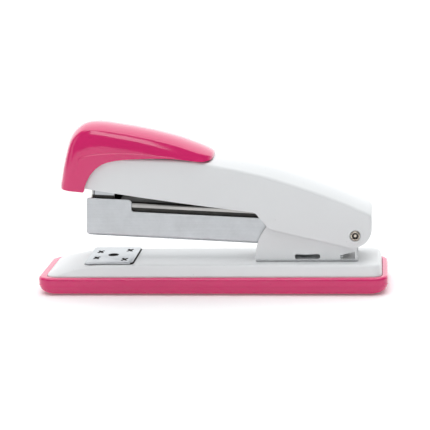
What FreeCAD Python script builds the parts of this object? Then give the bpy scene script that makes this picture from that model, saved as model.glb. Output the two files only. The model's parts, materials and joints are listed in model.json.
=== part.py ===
import FreeCAD, Part
import math
import os
import re
import Sketcher

# A desk stapler. Millimetres. X runs from the nose (-X) to the rear pivot (+X), Y across, Z up from the
# surface that it stands on. Everything that swings turns on the one pin across the rear.

SIZES = {
    "base": {
        "base_long": 152, "base_wide": 38, "foot_gap": 0.6, "sole_top": 7.75, "sole_floor": 2.6,
        "sole_corner": 6, "sole_under_edge": 4, "sole_rim_edge": 0.8, "sole_gap": 0.1, "boss_r": 4,
        "plate_front": -72.3, "plate_back": 73.35, "plate_half": 16.7, "plate_corner": 4.6,
        "plateau": 12.5, "plateau_half": 14.2, "plateau_front": -57, "plateau_back": 72.4,
        "shoulder": 10.9, "shoulder_half": 15.4, "shoulder_front": -67, "steel": 1,
        "foot_long": 18, "foot_wide": 7, "foot_thick": 1.2, "foot_corner": 2, "foot_x": 58, "foot_y": 11.2,
    },
    "pivot": {
        "pin_x": 62.1, "pin_z": 24.4, "pin_r": 2.1, "pin_half": 11.75, "run_gap": 0.06, "ear": 4.5,
        "bracket_half": 9.5, "bracket_steel": 1.2, "bracket_front": 19.1, "bracket_back": 63,
        "cheek_back_z": 18.6, "cheek_top_x": 30, "cheek_top_z": 30, "cheek_peak_x": 24.2,
        "cheek_peak_z": 28.2, "cheek_foot_z": 15.3, "cheek_r": 22, "window_front": 36.1,
        "window_back": 47, "window_low": 13, "window_high": 15.8, "notch_front": 55.6,
        "notch_back": 61.9, "notch_low": 15.4, "notch_high": 17.2,
        "washer_r": 3.4, "side_gap": 0.05,
        "rivet_r": 1.5, "rivet_head_r": 2.6, "rivet_head": 0.9, "rivet_y": 5.5, "front_rivets": 29.5,
        "back_rivets": 54, "screw_r": 1.5, "screw_head_r": 3, "screw_low": 0.7, "screw_seat": 2,
        "front_fixing": 24, "back_fixing": 58,
        "spring_x": 41.5, "lift_coil_r": 6.8, "lift_wire_r": 0.6, "lift_pitch": 1.5, "lift_rise": 3.1,
    },
    "anvil": {
        "anvil_x": -44.85, "anvil_long": 21.1, "anvil_wide": 26, "anvil_corner": 1.6, "anvil_thick": 0.75,
        "anvil_gap": 0.05, "seat_margin": 0.8, "seat_deep": 0.3, "stem_r": 2.35, "stem_foot": 2,
        "button_r": 6, "button_flange_r": 7.2, "button_neck_r": 3.8, "button_low": 0.8, "button_neck": 6.5,
        "clip_low": 6.6, "clip_high": 7.2, "clip_r": 4.2, "front_pits": 6.6, "front_pit_y": 5.1,
        "rear_pits": 6.2, "rear_pit_y": 7.6, "pit_half": 0.9, "pit_side": 1.8, "pit_corner": 0.8,
        "pit_deep": 0.4,
        "anvil_coil_r": 3.3, "anvil_wire_r": 0.3, "anvil_pitch": 1.15, "anvil_rise": 3.45,
    },
    "magazine": {
        "tilt": 3.3, "mag_half": 7.4, "mag_steel": 0.8, "mag_low": -6.87, "rail_top": 4.7,
        "mag_front": -116.8, "block_top": 9.9, "block_back": -97.2, "bend": 1.6, "slot_back": -114.2,
        "front_low": -5.4, "front_high": 3.2, "core_half": 4.6, "core_top": -0.6,
        "core_front": -112.3, "core_back": -14,
    },
    "frame": {
        "frame_half": 6.3, "frame_steel": 0.7, "frame_top": 8.75, "frame_low": 0.8, "frame_front": -103,
        "finger_front": -113, "finger_top": 1.5, "tab_low": 2, "frame_ear": 3.6,
        "rod_r": 1.2, "rod_z": 4.6, "rod_back": -8.5, "anchor_front": -12, "anchor_back": -8,
        "shoe_front": -112.5, "shoe_back": -98, "shoe_low": -5.8, "shoe_top": 0.4, "neck_front": -102,
        "neck_half": 4.8, "neck_top": 7.2, "rod_coil_r": 2, "rod_wire_r": 0.25, "rod_pitch": 3.4,
    },
    "handle": {
        "handle_half": 11.2, "handle_steel": 0.8, "handle_front": -54.5, "handle_back": 69.2,
        "top_back_z": 34.8, "rear_r": 265, "bow_x": 33, "bow_z": 49.4, "bow_r": 202, "flat_x": -16.92,
        "flat_z": 58.44, "flat_front_z": 60.45, "back_edge": 28, "ring_r": 3.3, "ring_high": 0.25,
        "top_round": 2.4,
        "cap_half": 12.8, "cap_side": 11.25, "cap_round": 4, "seat_gap": 0.05,
        "rib_y": 5, "rib_thick": 1.4,
    },
    "driver": {
        "blade_thick": 0.5, "blade_half": 6.2, "blade_low": 1.4, "blade_front": -115.45,
        "blade_lean": 0.0437,
        "bracket_low": 10, "driver_top": 28.4, "driver_back": -105, "driver_half": 6.2,
        "driver_steel": 0.7, "leaf_half": 4.8, "leaf_thick": 0.6,
        "driver_rivet_r": 1.4, "driver_rivet_head_r": 1.9, "driver_rivet_head": 0.8, "lever_top": 29.35,
        "front_rivet": -111.1, "rear_rivet": -107, "rivet_shift": 1.85,
    },
}

PLANES = {"XY": ("XY_Plane", 1), "XZ": ("XZ_Plane", -1), "YZ": ("YZ_Plane", 1)}
CROSSWISE = FreeCAD.Vector(0, 1, 0)

doc = FreeCAD.newDocument("Stapler")
sheet = doc.addObject("Spreadsheet::Sheet", "Sizes")
sub_parts = []


def fill_sheet():
    """One row for each driving dimension, under the name of its group."""
    row = 1
    for group, values in SIZES.items():
        sheet.set(f"A{row}", group)
        row += 1
        for alias, value in values.items():
            sheet.set(f"A{row}", alias)
            sheet.set(f"B{row}", str(value))
            sheet.setAlias(f"B{row}", alias)
            row += 1
    doc.recompute()


def bound(size):
    """Expression for a size that is written with the sheet's aliases."""
    return re.sub(r"[a-z]\w+", lambda word: "Sizes." + word.group(), str(size))


def number(size):
    return float(sheet.evalExpression(bound(size)))


def bind(item, path, size):
    item.setExpression(path, bound(size))


# ---- sketches and features -------------------------------------------------------------------------------

def new_body(label, tilted=False):
    body = doc.addObject("PartDesign::Body", label.title().replace("_", ""))
    body.Label = label
    if tilted:
        tilt_about_pin(body)
    sub_parts.append(body)
    return body


def tilt_about_pin(item):
    """Places a piece that is drawn along the magazine, with the pin at its origin."""
    item.Placement = FreeCAD.Placement(FreeCAD.Vector(), FreeCAD.Rotation(CROSSWISE, 1))
    bind(item, ".Placement.Rotation.Angle", "tilt")
    bind(item, ".Placement.Base.x", "pin_x")
    bind(item, ".Placement.Base.z", "pin_z")


def new_sketch(body, plane, level):
    """Empty sketch on one of the body's own planes, moved to a level along X, Y or Z."""
    role, sign = PLANES[plane]
    sketch = body.newObject("Sketcher::SketchObject", "Sketch")
    origin_plane = next(item for item in body.Origin.OriginFeatures if item.Role == role)
    sketch.AttachmentSupport = [(origin_plane, "")]
    sketch.MapMode = "FlatFace"
    bind(sketch, ".AttachmentOffset.Base.z", f"{sign} * ({level})")
    return sketch


def segment(start, end, radius):
    """A line, or an arc whose centre is on the left of the way from start to end for a positive radius.
    Also gives which of the edge's ends the way starts and finishes at."""
    if not radius:
        return Part.LineSegment(start, end), 1, 2
    chord = end - start
    left = FreeCAD.Vector(-chord.y, chord.x, 0).normalize()
    reach = math.sqrt(radius ** 2 - (chord.Length / 2) ** 2)
    centre = (start + end) / 2 + left * math.copysign(reach, radius)
    circle = Part.Circle(centre, FreeCAD.Vector(0, 0, 1), abs(radius))
    first, last = (start, end) if radius > 0 else (end, start)
    turn = [math.atan2((point - centre).y, (point - centre).x) for point in (first, last)]
    ends = (1, 2) if radius > 0 else (2, 1)
    return (Part.ArcOfCircle(circle, *turn), *ends)


def outline(body, plane, steps, level="0"):
    """Closed sketch through steps of (across, up) or (across, up, radius of the arc that leads there)."""
    sketch = new_sketch(body, plane, level)
    places = [FreeCAD.Vector(number(step[0]), number(step[1]), 0) for step in steps]
    ends = []
    for index, step in enumerate(steps):
        radius = number(step[2]) if len(step) > 2 else 0
        edge, first, last = segment(places[index - 1], places[index], radius)
        sketch.addGeometry(edge, False)
        ends.append((first, last))
        if radius:
            lock = sketch.addConstraint(Sketcher.Constraint("Radius", index, abs(radius)))
            bind(sketch, f"Constraints[{lock}]", f"-({step[2]})" if radius < 0 else step[2])
    for index, step in enumerate(steps):
        follower = (index + 1) % len(steps)
        last, first = ends[index][1], ends[follower][0]
        sketch.addConstraint(Sketcher.Constraint("Coincident", index, last, follower, first))
        for kind, size, place in (("DistanceX", step[0], places[index].x),
                                  ("DistanceY", step[1], places[index].y)):
            lock = sketch.addConstraint(Sketcher.Constraint(kind, -1, 1, index, last, place))
            bind(sketch, f"Constraints[{lock}]", size)
    return sketch


def disc(body, plane, across, up, radius, level="0"):
    sketch = new_sketch(body, plane, level)
    centre = FreeCAD.Vector(number(across), number(up), 0)
    sketch.addGeometry(Part.Circle(centre, FreeCAD.Vector(0, 0, 1), number(radius)), False)
    for kind, ends, size in (("DistanceX", (-1, 1, 0, 3), across), ("DistanceY", (-1, 1, 0, 3), up),
                             ("Radius", (0,), radius)):
        lock = sketch.addConstraint(Sketcher.Constraint(kind, *ends, number(size)))
        bind(sketch, f"Constraints[{lock}]", size)
    return sketch


def extrude(body, sketch, thickness, kind):
    feature = body.newObject("PartDesign::" + kind, kind)
    feature.Profile = sketch
    feature.Midplane = True
    bind(feature, ".Length", thickness)
    doc.recompute()
    return feature


def slab(body, plane, steps, low, high, kind="Pad"):
    """Pads or pockets an outline between two levels along the plane's normal."""
    sketch = outline(body, plane, steps, f"(({low}) + ({high})) / 2")
    return extrude(body, sketch, f"({high}) - ({low})", kind)


def rod(body, plane, across, up, radius, low, high, kind="Pad"):
    """Pads or pockets a circle between two levels along the plane's normal."""
    sketch = disc(body, plane, across, up, radius, f"(({low}) + ({high})) / 2")
    return extrude(body, sketch, f"({high}) - ({low})", kind)


def box_steps(left, low, right, high):
    return [(left, low), (right, low), (right, high), (left, high)]


def round_box_steps(left, low, right, high, corner):
    """Outline of a rectangle with its four corners rounded."""
    left_in, right_in = f"({left}) + ({corner})", f"({right}) - ({corner})"
    low_in, high_in = f"({low}) + ({corner})", f"({high}) - ({corner})"
    return [(left_in, low, corner), (right_in, low), (right, low_in, corner), (right, high_in),
            (right_in, high, corner), (left_in, high), (left, high_in, corner), (left, low_in)]


def round_edges(body, radius, wanted):
    """Fillets the edges of the body so far that the test picks."""
    base = body.Tip
    names = [f"Edge{index + 1}" for index, edge in enumerate(base.Shape.Edges) if wanted(edge)]
    feature = body.newObject("PartDesign::Fillet", "Fillet")
    feature.Base = (base, names)
    bind(feature, ".Radius", radius)
    doc.recompute()


def middle(edge):
    return edge.valueAt((edge.FirstParameter + edge.LastParameter) / 2)


def near(value, size):
    return abs(value - number(size)) < 0.01


# ---- plain round pieces ----------------------------------------------------------------------------------

def cylinder(name, radius, low, high, x="0", y="0", along=None):
    """A cylinder between two levels, upright, or along Y with x and y as its X and Z."""
    item = doc.addObject("Part::Cylinder", name)
    bind(item, ".Radius", radius)
    bind(item, ".Height", f"({high}) - ({low})")
    if along == "Y":
        item.Placement.Rotation = FreeCAD.Rotation(FreeCAD.Vector(1, 0, 0), -90)
        places = (("x", x), ("y", low), ("z", y))
    else:
        places = (("x", x), ("y", y), ("z", low))
    for axis, size in places:
        bind(item, f".Placement.Base.{axis}", size)
    return item


def joined(name, items, kind="Part::MultiFuse"):
    item = doc.addObject(kind, name)
    if kind == "Part::Compound":
        item.Links = items
    else:
        item.Shapes = items
    return item


def cut(name, base, tool):
    item = doc.addObject("Part::Cut", name)
    item.Base = base
    item.Tool = tool
    return item


def sub_part(item, label):
    item.Label = label
    sub_parts.append(item)
    return item


def coil(label, radius, wire, pitch, rise, base, turned=False, tilted=False):
    """A coil spring: a wire circle swept along a helix, upright or along the guide rod."""
    spine = doc.addObject("Part::Helix", "Helix")
    wire_circle = doc.addObject("Part::Circle", "Wire")
    bind(spine, ".Radius", radius)
    bind(spine, ".Pitch", pitch)
    bind(spine, ".Height", rise)
    bind(wire_circle, ".Radius", wire)
    wire_circle.Placement.Rotation = FreeCAD.Rotation(FreeCAD.Vector(1, 0, 0), 90)
    bind(wire_circle, ".Placement.Base.x", radius)
    sweep = doc.addObject("Part::Sweep", "Coil")
    sweep.Sections = [wire_circle]
    sweep.Spine = (spine, ["Edge1"])
    sweep.Solid = True
    sweep.Frenet = True
    if turned:
        sweep.Placement.Rotation = FreeCAD.Rotation(CROSSWISE, 90)
    for axis, size in zip("xyz", base):
        bind(sweep, f".Placement.Base.{axis}", size)
    if not tilted:
        return sub_part(sweep, label)
    holder = joined("Tilted" + sweep.Name, [sweep], "Part::Compound")
    tilt_about_pin(holder)
    return sub_part(holder, label)


# ---- base ------------------------------------------------------------------------------------------------

FIXINGS = ("front_fixing", "back_fixing")
RIVET_PLACES = [(x, y) for x in ("front_rivets", "back_rivets") for y in ("-rivet_y", "rivet_y")]
FOOT_PLACES = [(x, y) for x in ("-foot_x", "foot_x") for y in ("-foot_y", "foot_y")]


def foot_steps(x, y):
    return round_box_steps(f"{x} - foot_long / 2", f"{y} - foot_wide / 2",
                           f"{x} + foot_long / 2", f"{y} + foot_wide / 2", "foot_corner")


def base_sole():
    """Moulded tray: open on top, with bosses for the screws and a hole for the anvil's button."""
    body = new_body("base_sole")
    half, side = "base_long / 2", "base_wide / 2"
    slab(body, "XY", round_box_steps(f"-{half}", f"-{side}", half, side, "sole_corner"),
         "foot_gap", "sole_top")
    round_edges(body, "sole_under_edge", lambda edge: near(middle(edge).z, "foot_gap"))
    round_edges(body, "sole_rim_edge", lambda edge: near(middle(edge).z, "sole_top"))
    well = round_box_steps("plate_front - sole_gap", "-plate_half - sole_gap", "plate_back + sole_gap",
                           "plate_half + sole_gap", "plate_corner + sole_gap")
    slab(body, "XY", well, "sole_floor", "sole_top + 1", "Pocket")
    for x in FIXINGS:
        rod(body, "XY", x, "0", "boss_r", "sole_floor - 0.5", "plateau - steel")
        rod(body, "XY", x, "0", "screw_r", "0", "plateau", "Pocket")
        rod(body, "XY", x, "0", "screw_head_r + 0.3", "0", "screw_seat", "Pocket")
    for x, y in FOOT_PLACES:
        slab(body, "XY", foot_steps(x, y), "0", "foot_thick", "Pocket")
    rod(body, "XY", "anvil_x", "0", "button_r + 0.3", "0", "sole_floor + 1", "Pocket")


def foot_pads():
    pads = []
    for x, y in FOOT_PLACES:
        body = doc.addObject("PartDesign::Body", "Foot")
        slab(body, "XY", foot_steps(x, y), "0", "foot_thick")
        pads.append(body)
    sub_part(joined("FootPads", pads, "Part::Compound"), "foot_pads")


def cover_rim(inset):
    return round_box_steps(f"plate_front + {inset}", f"-plate_half + {inset}", f"plate_back - {inset}",
                           f"plate_half - {inset}", f"plate_corner - {inset}")


def cover(body, inset, drop, foot, kind):
    """The plate's outer or inner form: an upright skirt, a rounded shoulder and the flat top."""
    slab(body, "XY", cover_rim(inset), foot, f"sole_top - {drop}", kind)
    shoulder = round_box_steps(f"shoulder_front + {inset}", f"-shoulder_half + {inset}",
                               f"plate_back - 0.4 - {inset}", f"shoulder_half - {inset}", "plate_corner")
    top = round_box_steps(f"plateau_front + {inset}", f"-plateau_half + {inset}",
                          f"plateau_back - {inset}", f"plateau_half - {inset}", "plate_corner")
    levels = (("sole_top", cover_rim(inset)), ("shoulder", shoulder), ("plateau", top))
    for (low, low_steps), (high, high_steps) in zip(levels, levels[1:]):
        way = "AdditiveLoft" if kind == "Pad" else "SubtractiveLoft"
        loft = body.newObject("PartDesign::" + way, "Loft")
        loft.Profile = outline(body, "XY", low_steps, f"{low} - {drop}")
        loft.Sections = [outline(body, "XY", high_steps, f"{high} - {drop}")]
        loft.Ruled = True
        doc.recompute()


def base_plate():
    """Pressed steel cover with a shallow seat under the anvil."""
    body = new_body("base_plate")
    cover(body, "0", "0", "sole_floor", "Pad")
    cover(body, "steel", "steel", "0", "Pocket")
    margin = "anvil_long / 2 + seat_margin"
    side = "anvil_wide / 2 + seat_margin"
    slab(body, "XY", round_box_steps(f"anvil_x - {margin}", f"-({side})", f"anvil_x + {margin}", side,
                                     "anvil_corner + seat_margin"),
         "plateau - seat_deep", "plateau + 1", "Pocket")
    rod(body, "XY", "anvil_x", "0", "stem_r + run_gap", "plateau - 2", "plateau + 1", "Pocket")
    for x in FIXINGS:
        rod(body, "XY", x, "0", "screw_r", "plateau - 2", "plateau + 1", "Pocket")
    for x, y in RIVET_PLACES:
        rod(body, "XY", x, y, "rivet_r", "plateau - 2", "plateau + 1", "Pocket")


def pivot_bracket():
    """Steel U riveted to the plate: two cheeks with a window for the spring and a rear notch."""
    body = new_body("pivot_bracket")
    cheek = [("bracket_front", "plateau"), ("bracket_back", "plateau"), ("bracket_back", "cheek_back_z"),
             ("pin_x + ear", "pin_z"), ("pin_x", "pin_z + ear", "ear"), ("cheek_top_x", "cheek_top_z"),
             ("cheek_peak_x", "cheek_peak_z"), ("bracket_front", "cheek_foot_z", "cheek_r")]
    slab(body, "XZ", cheek, "-bracket_half", "bracket_half")
    floor = "plateau + bracket_steel"
    inner = "bracket_half - bracket_steel"
    slab(body, "XZ", box_steps("0", floor, "base_long", "40"), f"-({inner})", inner, "Pocket")
    window = round_box_steps("window_front", "window_low", "window_back", "window_high", "1")
    notch = [("notch_front", "12"), ("notch_back", "12"), ("notch_back", "notch_high"),
             ("notch_front", "notch_low")]
    for low, high in ((f"-({inner}) - 2", f"-({inner})"), (inner, f"{inner} + 2")):
        slab(body, "XZ", window, low, high, "Pocket")
        slab(body, "XZ", notch, low, high, "Pocket")
    rod(body, "XZ", "pin_x", "pin_z", "pin_r", "-base_wide", "base_wide", "Pocket")
    for x, y in [(x, "0") for x in FIXINGS] + RIVET_PLACES:
        rod(body, "XY", x, y, "rivet_r", "plateau - 1", "plateau + 2", "Pocket")


def bracket_rivets():
    rivets = []
    for x, y in RIVET_PLACES:
        top = "plateau + bracket_steel"
        under = "plateau - steel"
        parts = [cylinder("Shank", "rivet_r", under, top, x, y),
                 cylinder("Head", "rivet_head_r", top, f"{top} + rivet_head", x, y),
                 cylinder("Tail", "rivet_head_r", f"{under} - rivet_head", under, x, y)]
        rivets.append(joined("Rivet", parts))
    sub_part(joined("BracketRivets", rivets, "Part::Compound"), "bracket_rivets")


def base_screws():
    screws = []
    for x in FIXINGS:
        parts = [cylinder("Head", "screw_head_r", "screw_low", "screw_seat", x),
                 cylinder("Shank", "screw_r", "screw_seat", "plateau + bracket_steel", x)]
        screws.append(joined("Screw", parts))
    sub_part(joined("BaseScrews", screws, "Part::Compound"), "base_screws")


def pivot_pin():
    """The one pin, with a cone-shaped crimp in each end."""
    shank = cylinder("Shank", "pin_r", "-pin_half", "pin_half", "pin_x", "pin_z", along="Y")
    cones = []
    for sign, turn in (("-", -90), ("", 90)):
        cone = doc.addObject("Part::Cone", "Crimp")
        bind(cone, ".Radius1", "pin_r * 0.62")
        cone.Radius2 = 0
        cone.Height = 0.7
        cone.Placement.Rotation = FreeCAD.Rotation(FreeCAD.Vector(1, 0, 0), turn)
        bind(cone, ".Placement.Base.x", "pin_x")
        bind(cone, ".Placement.Base.y", f"{sign}pin_half")
        bind(cone, ".Placement.Base.z", "pin_z")
        cones.append(cone)
    sub_part(cut("PivotPin", shank, joined("Crimps", cones)), "pivot_pin")


def pin_washers():
    """Spacers on the pin between the magazine, the bracket's cheeks and the handle."""
    gaps = (("mag_half + side_gap", "bracket_half - bracket_steel"),
            ("bracket_half", "handle_half - handle_steel - side_gap"))
    rings = []
    for near_face, far_face in gaps:
        for low, high in ((f"-({far_face})", f"-({near_face})"), (near_face, far_face)):
            ring = cylinder("Ring", "washer_r", low, high, "pin_x", "pin_z", along="Y")
            bore = cylinder("Bore", "pin_r", low, high, "pin_x", "pin_z", along="Y")
            rings.append(cut("Washer", ring, bore))
    sub_part(joined("PinWashers", rings, "Part::Compound"), "pin_washers")


def lift_spring():
    base = ("spring_x", "0", "plateau + bracket_steel + lift_wire_r + 0.05")
    coil("lift_spring", "lift_coil_r", "lift_wire_r", "lift_pitch", "lift_rise", base)


# ---- anvil -----------------------------------------------------------------------------------------------

def anvil_button():
    body = new_body("anvil_button")
    flange = "sole_floor + 0.05"
    neck = "sole_floor + 0.8"
    rod(body, "XY", "anvil_x", "0", "button_r", "button_low", flange)
    rod(body, "XY", "anvil_x", "0", "button_flange_r", flange, neck)
    rod(body, "XY", "anvil_x", "0", "button_neck_r", neck, "button_neck")
    rod(body, "XY", "anvil_x", "0", "stem_r + run_gap", "stem_foot", "button_neck + 1", "Pocket")


def anvil_plate():
    """Clinching plate: near pair of pockets for a closed staple, wider pair for an open one."""
    body = new_body("anvil_plate")
    low = "plateau + anvil_gap"
    high = f"{low} + anvil_thick"
    plan = round_box_steps("anvil_x - anvil_long / 2", "-anvil_wide / 2",
                           "anvil_x + anvil_long / 2", "anvil_wide / 2", "anvil_corner")
    slab(body, "XY", plan, low, high)
    for x, spread in (("anvil_x - front_pits", "front_pit_y"), ("anvil_x + rear_pits", "rear_pit_y")):
        for y in (f"-{spread}", spread):
            pit = round_box_steps(f"{x} - pit_half", f"{y} - pit_side", f"{x} + pit_half", f"{y} + pit_side",
                                  "pit_corner")
            slab(body, "XY", pit, f"{high} - pit_deep", f"{high} + 1", "Pocket")
    rod(body, "XY", "anvil_x", "0", "stem_r", "plateau - 1", "plateau + 2", "Pocket")


def anvil_stem():
    top = "plateau + anvil_gap + anvil_thick"
    stem = cylinder("Stem", "stem_r", "stem_foot + 0.05", top, "anvil_x")
    dish = cylinder("Dish", "stem_r - 0.7", f"{top} - 0.4", f"{top} + 1", "anvil_x")
    sub_part(cut("AnvilStem", stem, dish), "anvil_stem")


def stem_clip():
    ring = cylinder("Ring", "clip_r", "clip_low", "clip_high", "anvil_x")
    bore = cylinder("Bore", "stem_r", "clip_low", "clip_high", "anvil_x")
    sub_part(cut("StemClip", ring, bore), "stem_clip")


def anvil_spring():
    coil("anvil_spring", "anvil_coil_r", "anvil_wire_r", "anvil_pitch", "anvil_rise",
         ("anvil_x", "0", "clip_high + anvil_wire_r + 0.05"))


# ---- magazine --------------------------------------------------------------------------------------------

def magazine_channel():
    """Long steel U with a higher block at the front, open below at the blade's slot."""
    body = new_body("magazine_channel", tilted=True)
    step, corner = "1.2", "1.6"
    side = [("mag_front + 1.4", "mag_low"), ("-8", "mag_low"), ("0", "-ear"), ("ear", "0", "ear"),
            ("0", "ear", "ear"), ("-6", "rail_top"), (f"block_back + {step}", "rail_top"),
            ("block_back", f"rail_top + {step}", f"-{step}"), ("block_back", f"block_top - {corner}"),
            (f"block_back - {corner}", "block_top", corner), ("mag_front + 0.5", "block_top"),
            ("mag_front", "block_top - 0.5"), ("mag_front", "mag_low + 1.4")]
    slab(body, "XZ", side, "-mag_half", "mag_half")
    round_edges(body, "bend", lambda edge: edge.Length > 50 and near(middle(edge).z, "mag_low"))
    inner, floor = "mag_half - mag_steel", "mag_low + mag_steel"
    slab(body, "XZ", box_steps("mag_front - 1", floor, "10", "20"), f"-({inner})", inner, "Pocket")
    round_edges(body, "bend - mag_steel", lambda edge: edge.Length > 50 and near(middle(edge).z, floor))
    slab(body, "XY", box_steps("mag_front - 1", f"-({inner})", "slot_back", inner),
         "mag_low - 1", "mag_low + 2", "Pocket")
    slab(body, "XY", box_steps("-9", f"-({inner})", "10", inner), "mag_low - 1", "mag_low + 3", "Pocket")
    rod(body, "XZ", "0", "0", "pin_r + run_gap", "-base_wide", "base_wide", "Pocket")


def magazine_front():
    body = new_body("magazine_front", tilted=True)
    inner = "mag_half - mag_steel"
    slab(body, "XY", box_steps("mag_front", f"-({inner})", "mag_front + mag_steel", inner),
         "front_low", "front_high")


def staple_core():
    """Folded rail that a strip of staples straddles."""
    body = new_body("staple_core", tilted=True)
    floor = "mag_low + mag_steel"
    slab(body, "XZ", box_steps("core_front", floor, "core_back", "core_top"), "-core_half", "core_half")
    slab(body, "XZ", box_steps("core_front - 1", "mag_low", "core_back + 1", "core_top - mag_steel"),
         "-core_half + mag_steel", "core_half - mag_steel", "Pocket")


# ---- inner frame and follower ----------------------------------------------------------------------------

def follower_frame():
    """Steel channel, open below, that carries the rod and holds the staples down."""
    body = new_body("follower_frame", tilted=True)
    side = [("frame_front", "frame_low"), ("-14", "frame_low"), ("0", "-frame_ear"),
            ("frame_ear", "0", "frame_ear"), ("frame_ear", "5"), ("0.5", "frame_top"),
            ("frame_front", "frame_top")]
    slab(body, "XZ", side, "-frame_half", "frame_half")
    round_edges(body, "1", lambda edge: edge.Length > 50 and near(middle(edge).z, "frame_top"))
    inner = "frame_half - frame_steel"
    slab(body, "XZ", box_steps("frame_front - 1", "-10", "10", "frame_top - frame_steel"),
         f"-({inner})", inner, "Pocket")
    for low, high in (("-frame_half", f"-({inner})"), (inner, "frame_half")):
        slab(body, "XZ", box_steps("finger_front", "frame_low", "frame_front + 1", "finger_top"), low, high)
    slab(body, "YZ", box_steps(f"-({inner}) - 0.2", "tab_low", f"{inner} + 0.2", "frame_top - 0.3"),
         "frame_front", "frame_front + frame_steel")
    rod(body, "YZ", "0", "rod_z", "rod_r", "frame_front - 1", "frame_front + 2", "Pocket")
    rod(body, "XZ", "0", "0", "pin_r + run_gap", "-base_wide", "base_wide", "Pocket")


def guide_rod():
    body = new_body("guide_rod", tilted=True)
    rod(body, "YZ", "0", "rod_z", "rod_r", "frame_front - 0.6", "rod_back")


def rod_anchor():
    body = new_body("rod_anchor", tilted=True)
    inner = "frame_half - frame_steel"
    slab(body, "YZ", box_steps(f"-({inner})", "tab_low", inner, "frame_top - frame_steel"),
         "anchor_front", "anchor_back")
    rod(body, "YZ", "0", "rod_z", "rod_r", "anchor_front - 1", "rod_back", "Pocket")


def follower():
    """Shoe of the staples' own section, with a neck that slides on the rod."""
    body = new_body("follower", tilted=True)
    slab(body, "XZ", box_steps("shoe_front", "shoe_low", "shoe_back", "shoe_top"),
         "-frame_half", "frame_half")
    slab(body, "XZ", box_steps("shoe_front - 1", "shoe_low - 1", "shoe_back + 1", "core_top + 0.3"),
         "-core_half - 0.3", "core_half + 0.3", "Pocket")
    slab(body, "XZ", box_steps("neck_front", "shoe_top - 0.1", "shoe_back", "neck_top"),
         "-neck_half", "neck_half")
    rod(body, "YZ", "0", "rod_z", "rod_r + run_gap", "neck_front - 1", "shoe_back + 1", "Pocket")


def follower_spring():
    coil("follower_spring", "rod_coil_r", "rod_wire_r", "rod_pitch", "anchor_front - shoe_back - 1",
         ("shoe_back + 0.5", "0", "rod_z"), turned=True, tilted=True)


# ---- handle ----------------------------------------------------------------------------------------------

FRONT_RISE = "(flat_front_z - flat_z) / (flat_x - handle_front)"
REAR_SLOPE = "(bow_z - top_back_z) / (handle_back - bow_x)"


def top_line(drop, reach):
    """The handle's top from the rear to the front, set in by a sheet's thickness, up to x = reach.
    The rear run slopes, so it is lowered a little more than the flat front."""
    rear_drop = f"{drop} * 1.07"
    return [(f"handle_back - {drop}", f"top_back_z + {REAR_SLOPE} * {drop} - {rear_drop}"),
            ("bow_x", f"bow_z - {rear_drop}", f"rear_r - {drop}"),
            ("flat_x", f"flat_z - {drop}", f"bow_r - {drop}"),
            (reach, f"flat_z - {drop} + {FRONT_RISE} * (flat_x - ({reach}))")]


def handle_shell():
    """Pressed steel lever, open below, deep at the pivot and closed by a back wall."""
    body = new_body("handle_shell")
    side = [("17.6", "35.1", "1650"), ("20.9", "32.9", "-3.6"), ("24", "29.3"), ("26.4", "27.3", "4"),
            ("60.6", "18.95"), ("handle_back", "27.6", "8.7"), *top_line("0", "handle_front"),
            ("handle_front", "46")]
    slab(body, "XZ", side, "-handle_half", "handle_half")
    round_edges(body, "top_round", lambda edge: near(abs(middle(edge).y), "handle_half")
                and middle(edge).z > 40.5 and edge.BoundBox.XLength > 10)
    inner = "handle_half - handle_steel"
    hollow = [("handle_front - 1", "0"), ("handle_back - handle_steel", "0"),
              *top_line("handle_steel", "handle_front - 1")]
    slab(body, "XZ", hollow, f"-({inner})", inner, "Pocket")
    slab(body, "XY", box_steps("pin_x", f"-({inner})", "base_long", inner), "0", "back_edge", "Pocket")
    for x in DRIVER_RIVETS:
        rod(body, "XY", f"pin_x + {x} + rivet_shift", "0", "driver_rivet_r + 0.1",
            "flat_z - 2", "flat_z + 5", "Pocket")
    for low, high in (("-handle_half - ring_high", "-handle_half + 0.1"),
                      ("handle_half - 0.1", "handle_half + ring_high")):
        rod(body, "XZ", "pin_x", "pin_z", "ring_r", low, high)
    rod(body, "XZ", "pin_x", "pin_z", "pin_r + run_gap", "-base_wide", "base_wide", "Pocket")


# Rivets along the magazine's own direction. The lever's holes for them are upright, so each stands back by
# what the magazine's tilt carries the rivet's head.
DRIVER_RIVETS = ("front_rivet", "rear_rivet")
CAP_CEILING = [("-12", "64.1"), ("-33", "69.6"), ("-50", "71.7")]


def handle_cap():
    """Moulded cap over the lever's front: a blunt nose, a domed back and a tongue along the top."""
    body = new_body("handle_cap")
    side = [("-53.9", "46"), ("-41", "58.4", "-12.7"), ("-16", "59"), ("-1.7", "57.3"), ("1.8", "58.8", "2"),
            ("-0.3", "61.7"), ("-50.2", "73.9", "135"), ("-60.8", "66.7", "10.5"), ("-66.2", "46.9", "160"),
            ("-64.8", "45.3", "1.6"), ("-55", "44.5")]
    slab(body, "XZ", side, "-cap_half", "cap_half")
    round_edges(body, "cap_round", lambda edge: near(abs(middle(edge).y), "cap_half") and edge.Length > 8
                and (middle(edge).z > 66 or middle(edge).x < -60))
    bow, *front = top_line("-seat_gap", "handle_front - 0.1")[1:]
    seat = [("handle_front - 0.1", "30"), ("bow_x", "30"), bow[:2], *front]
    slab(body, "XZ", seat, "-cap_side", "cap_side", "Pocket")
    hollow = [("-64.1", "40"), ("-30", "40"), ("-12", "55"), *CAP_CEILING, ("-58.6", "66", "8.5"),
              ("-64.1", "46.5")]
    slab(body, "XZ", hollow, "-cap_side", "cap_side", "Pocket")


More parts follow.
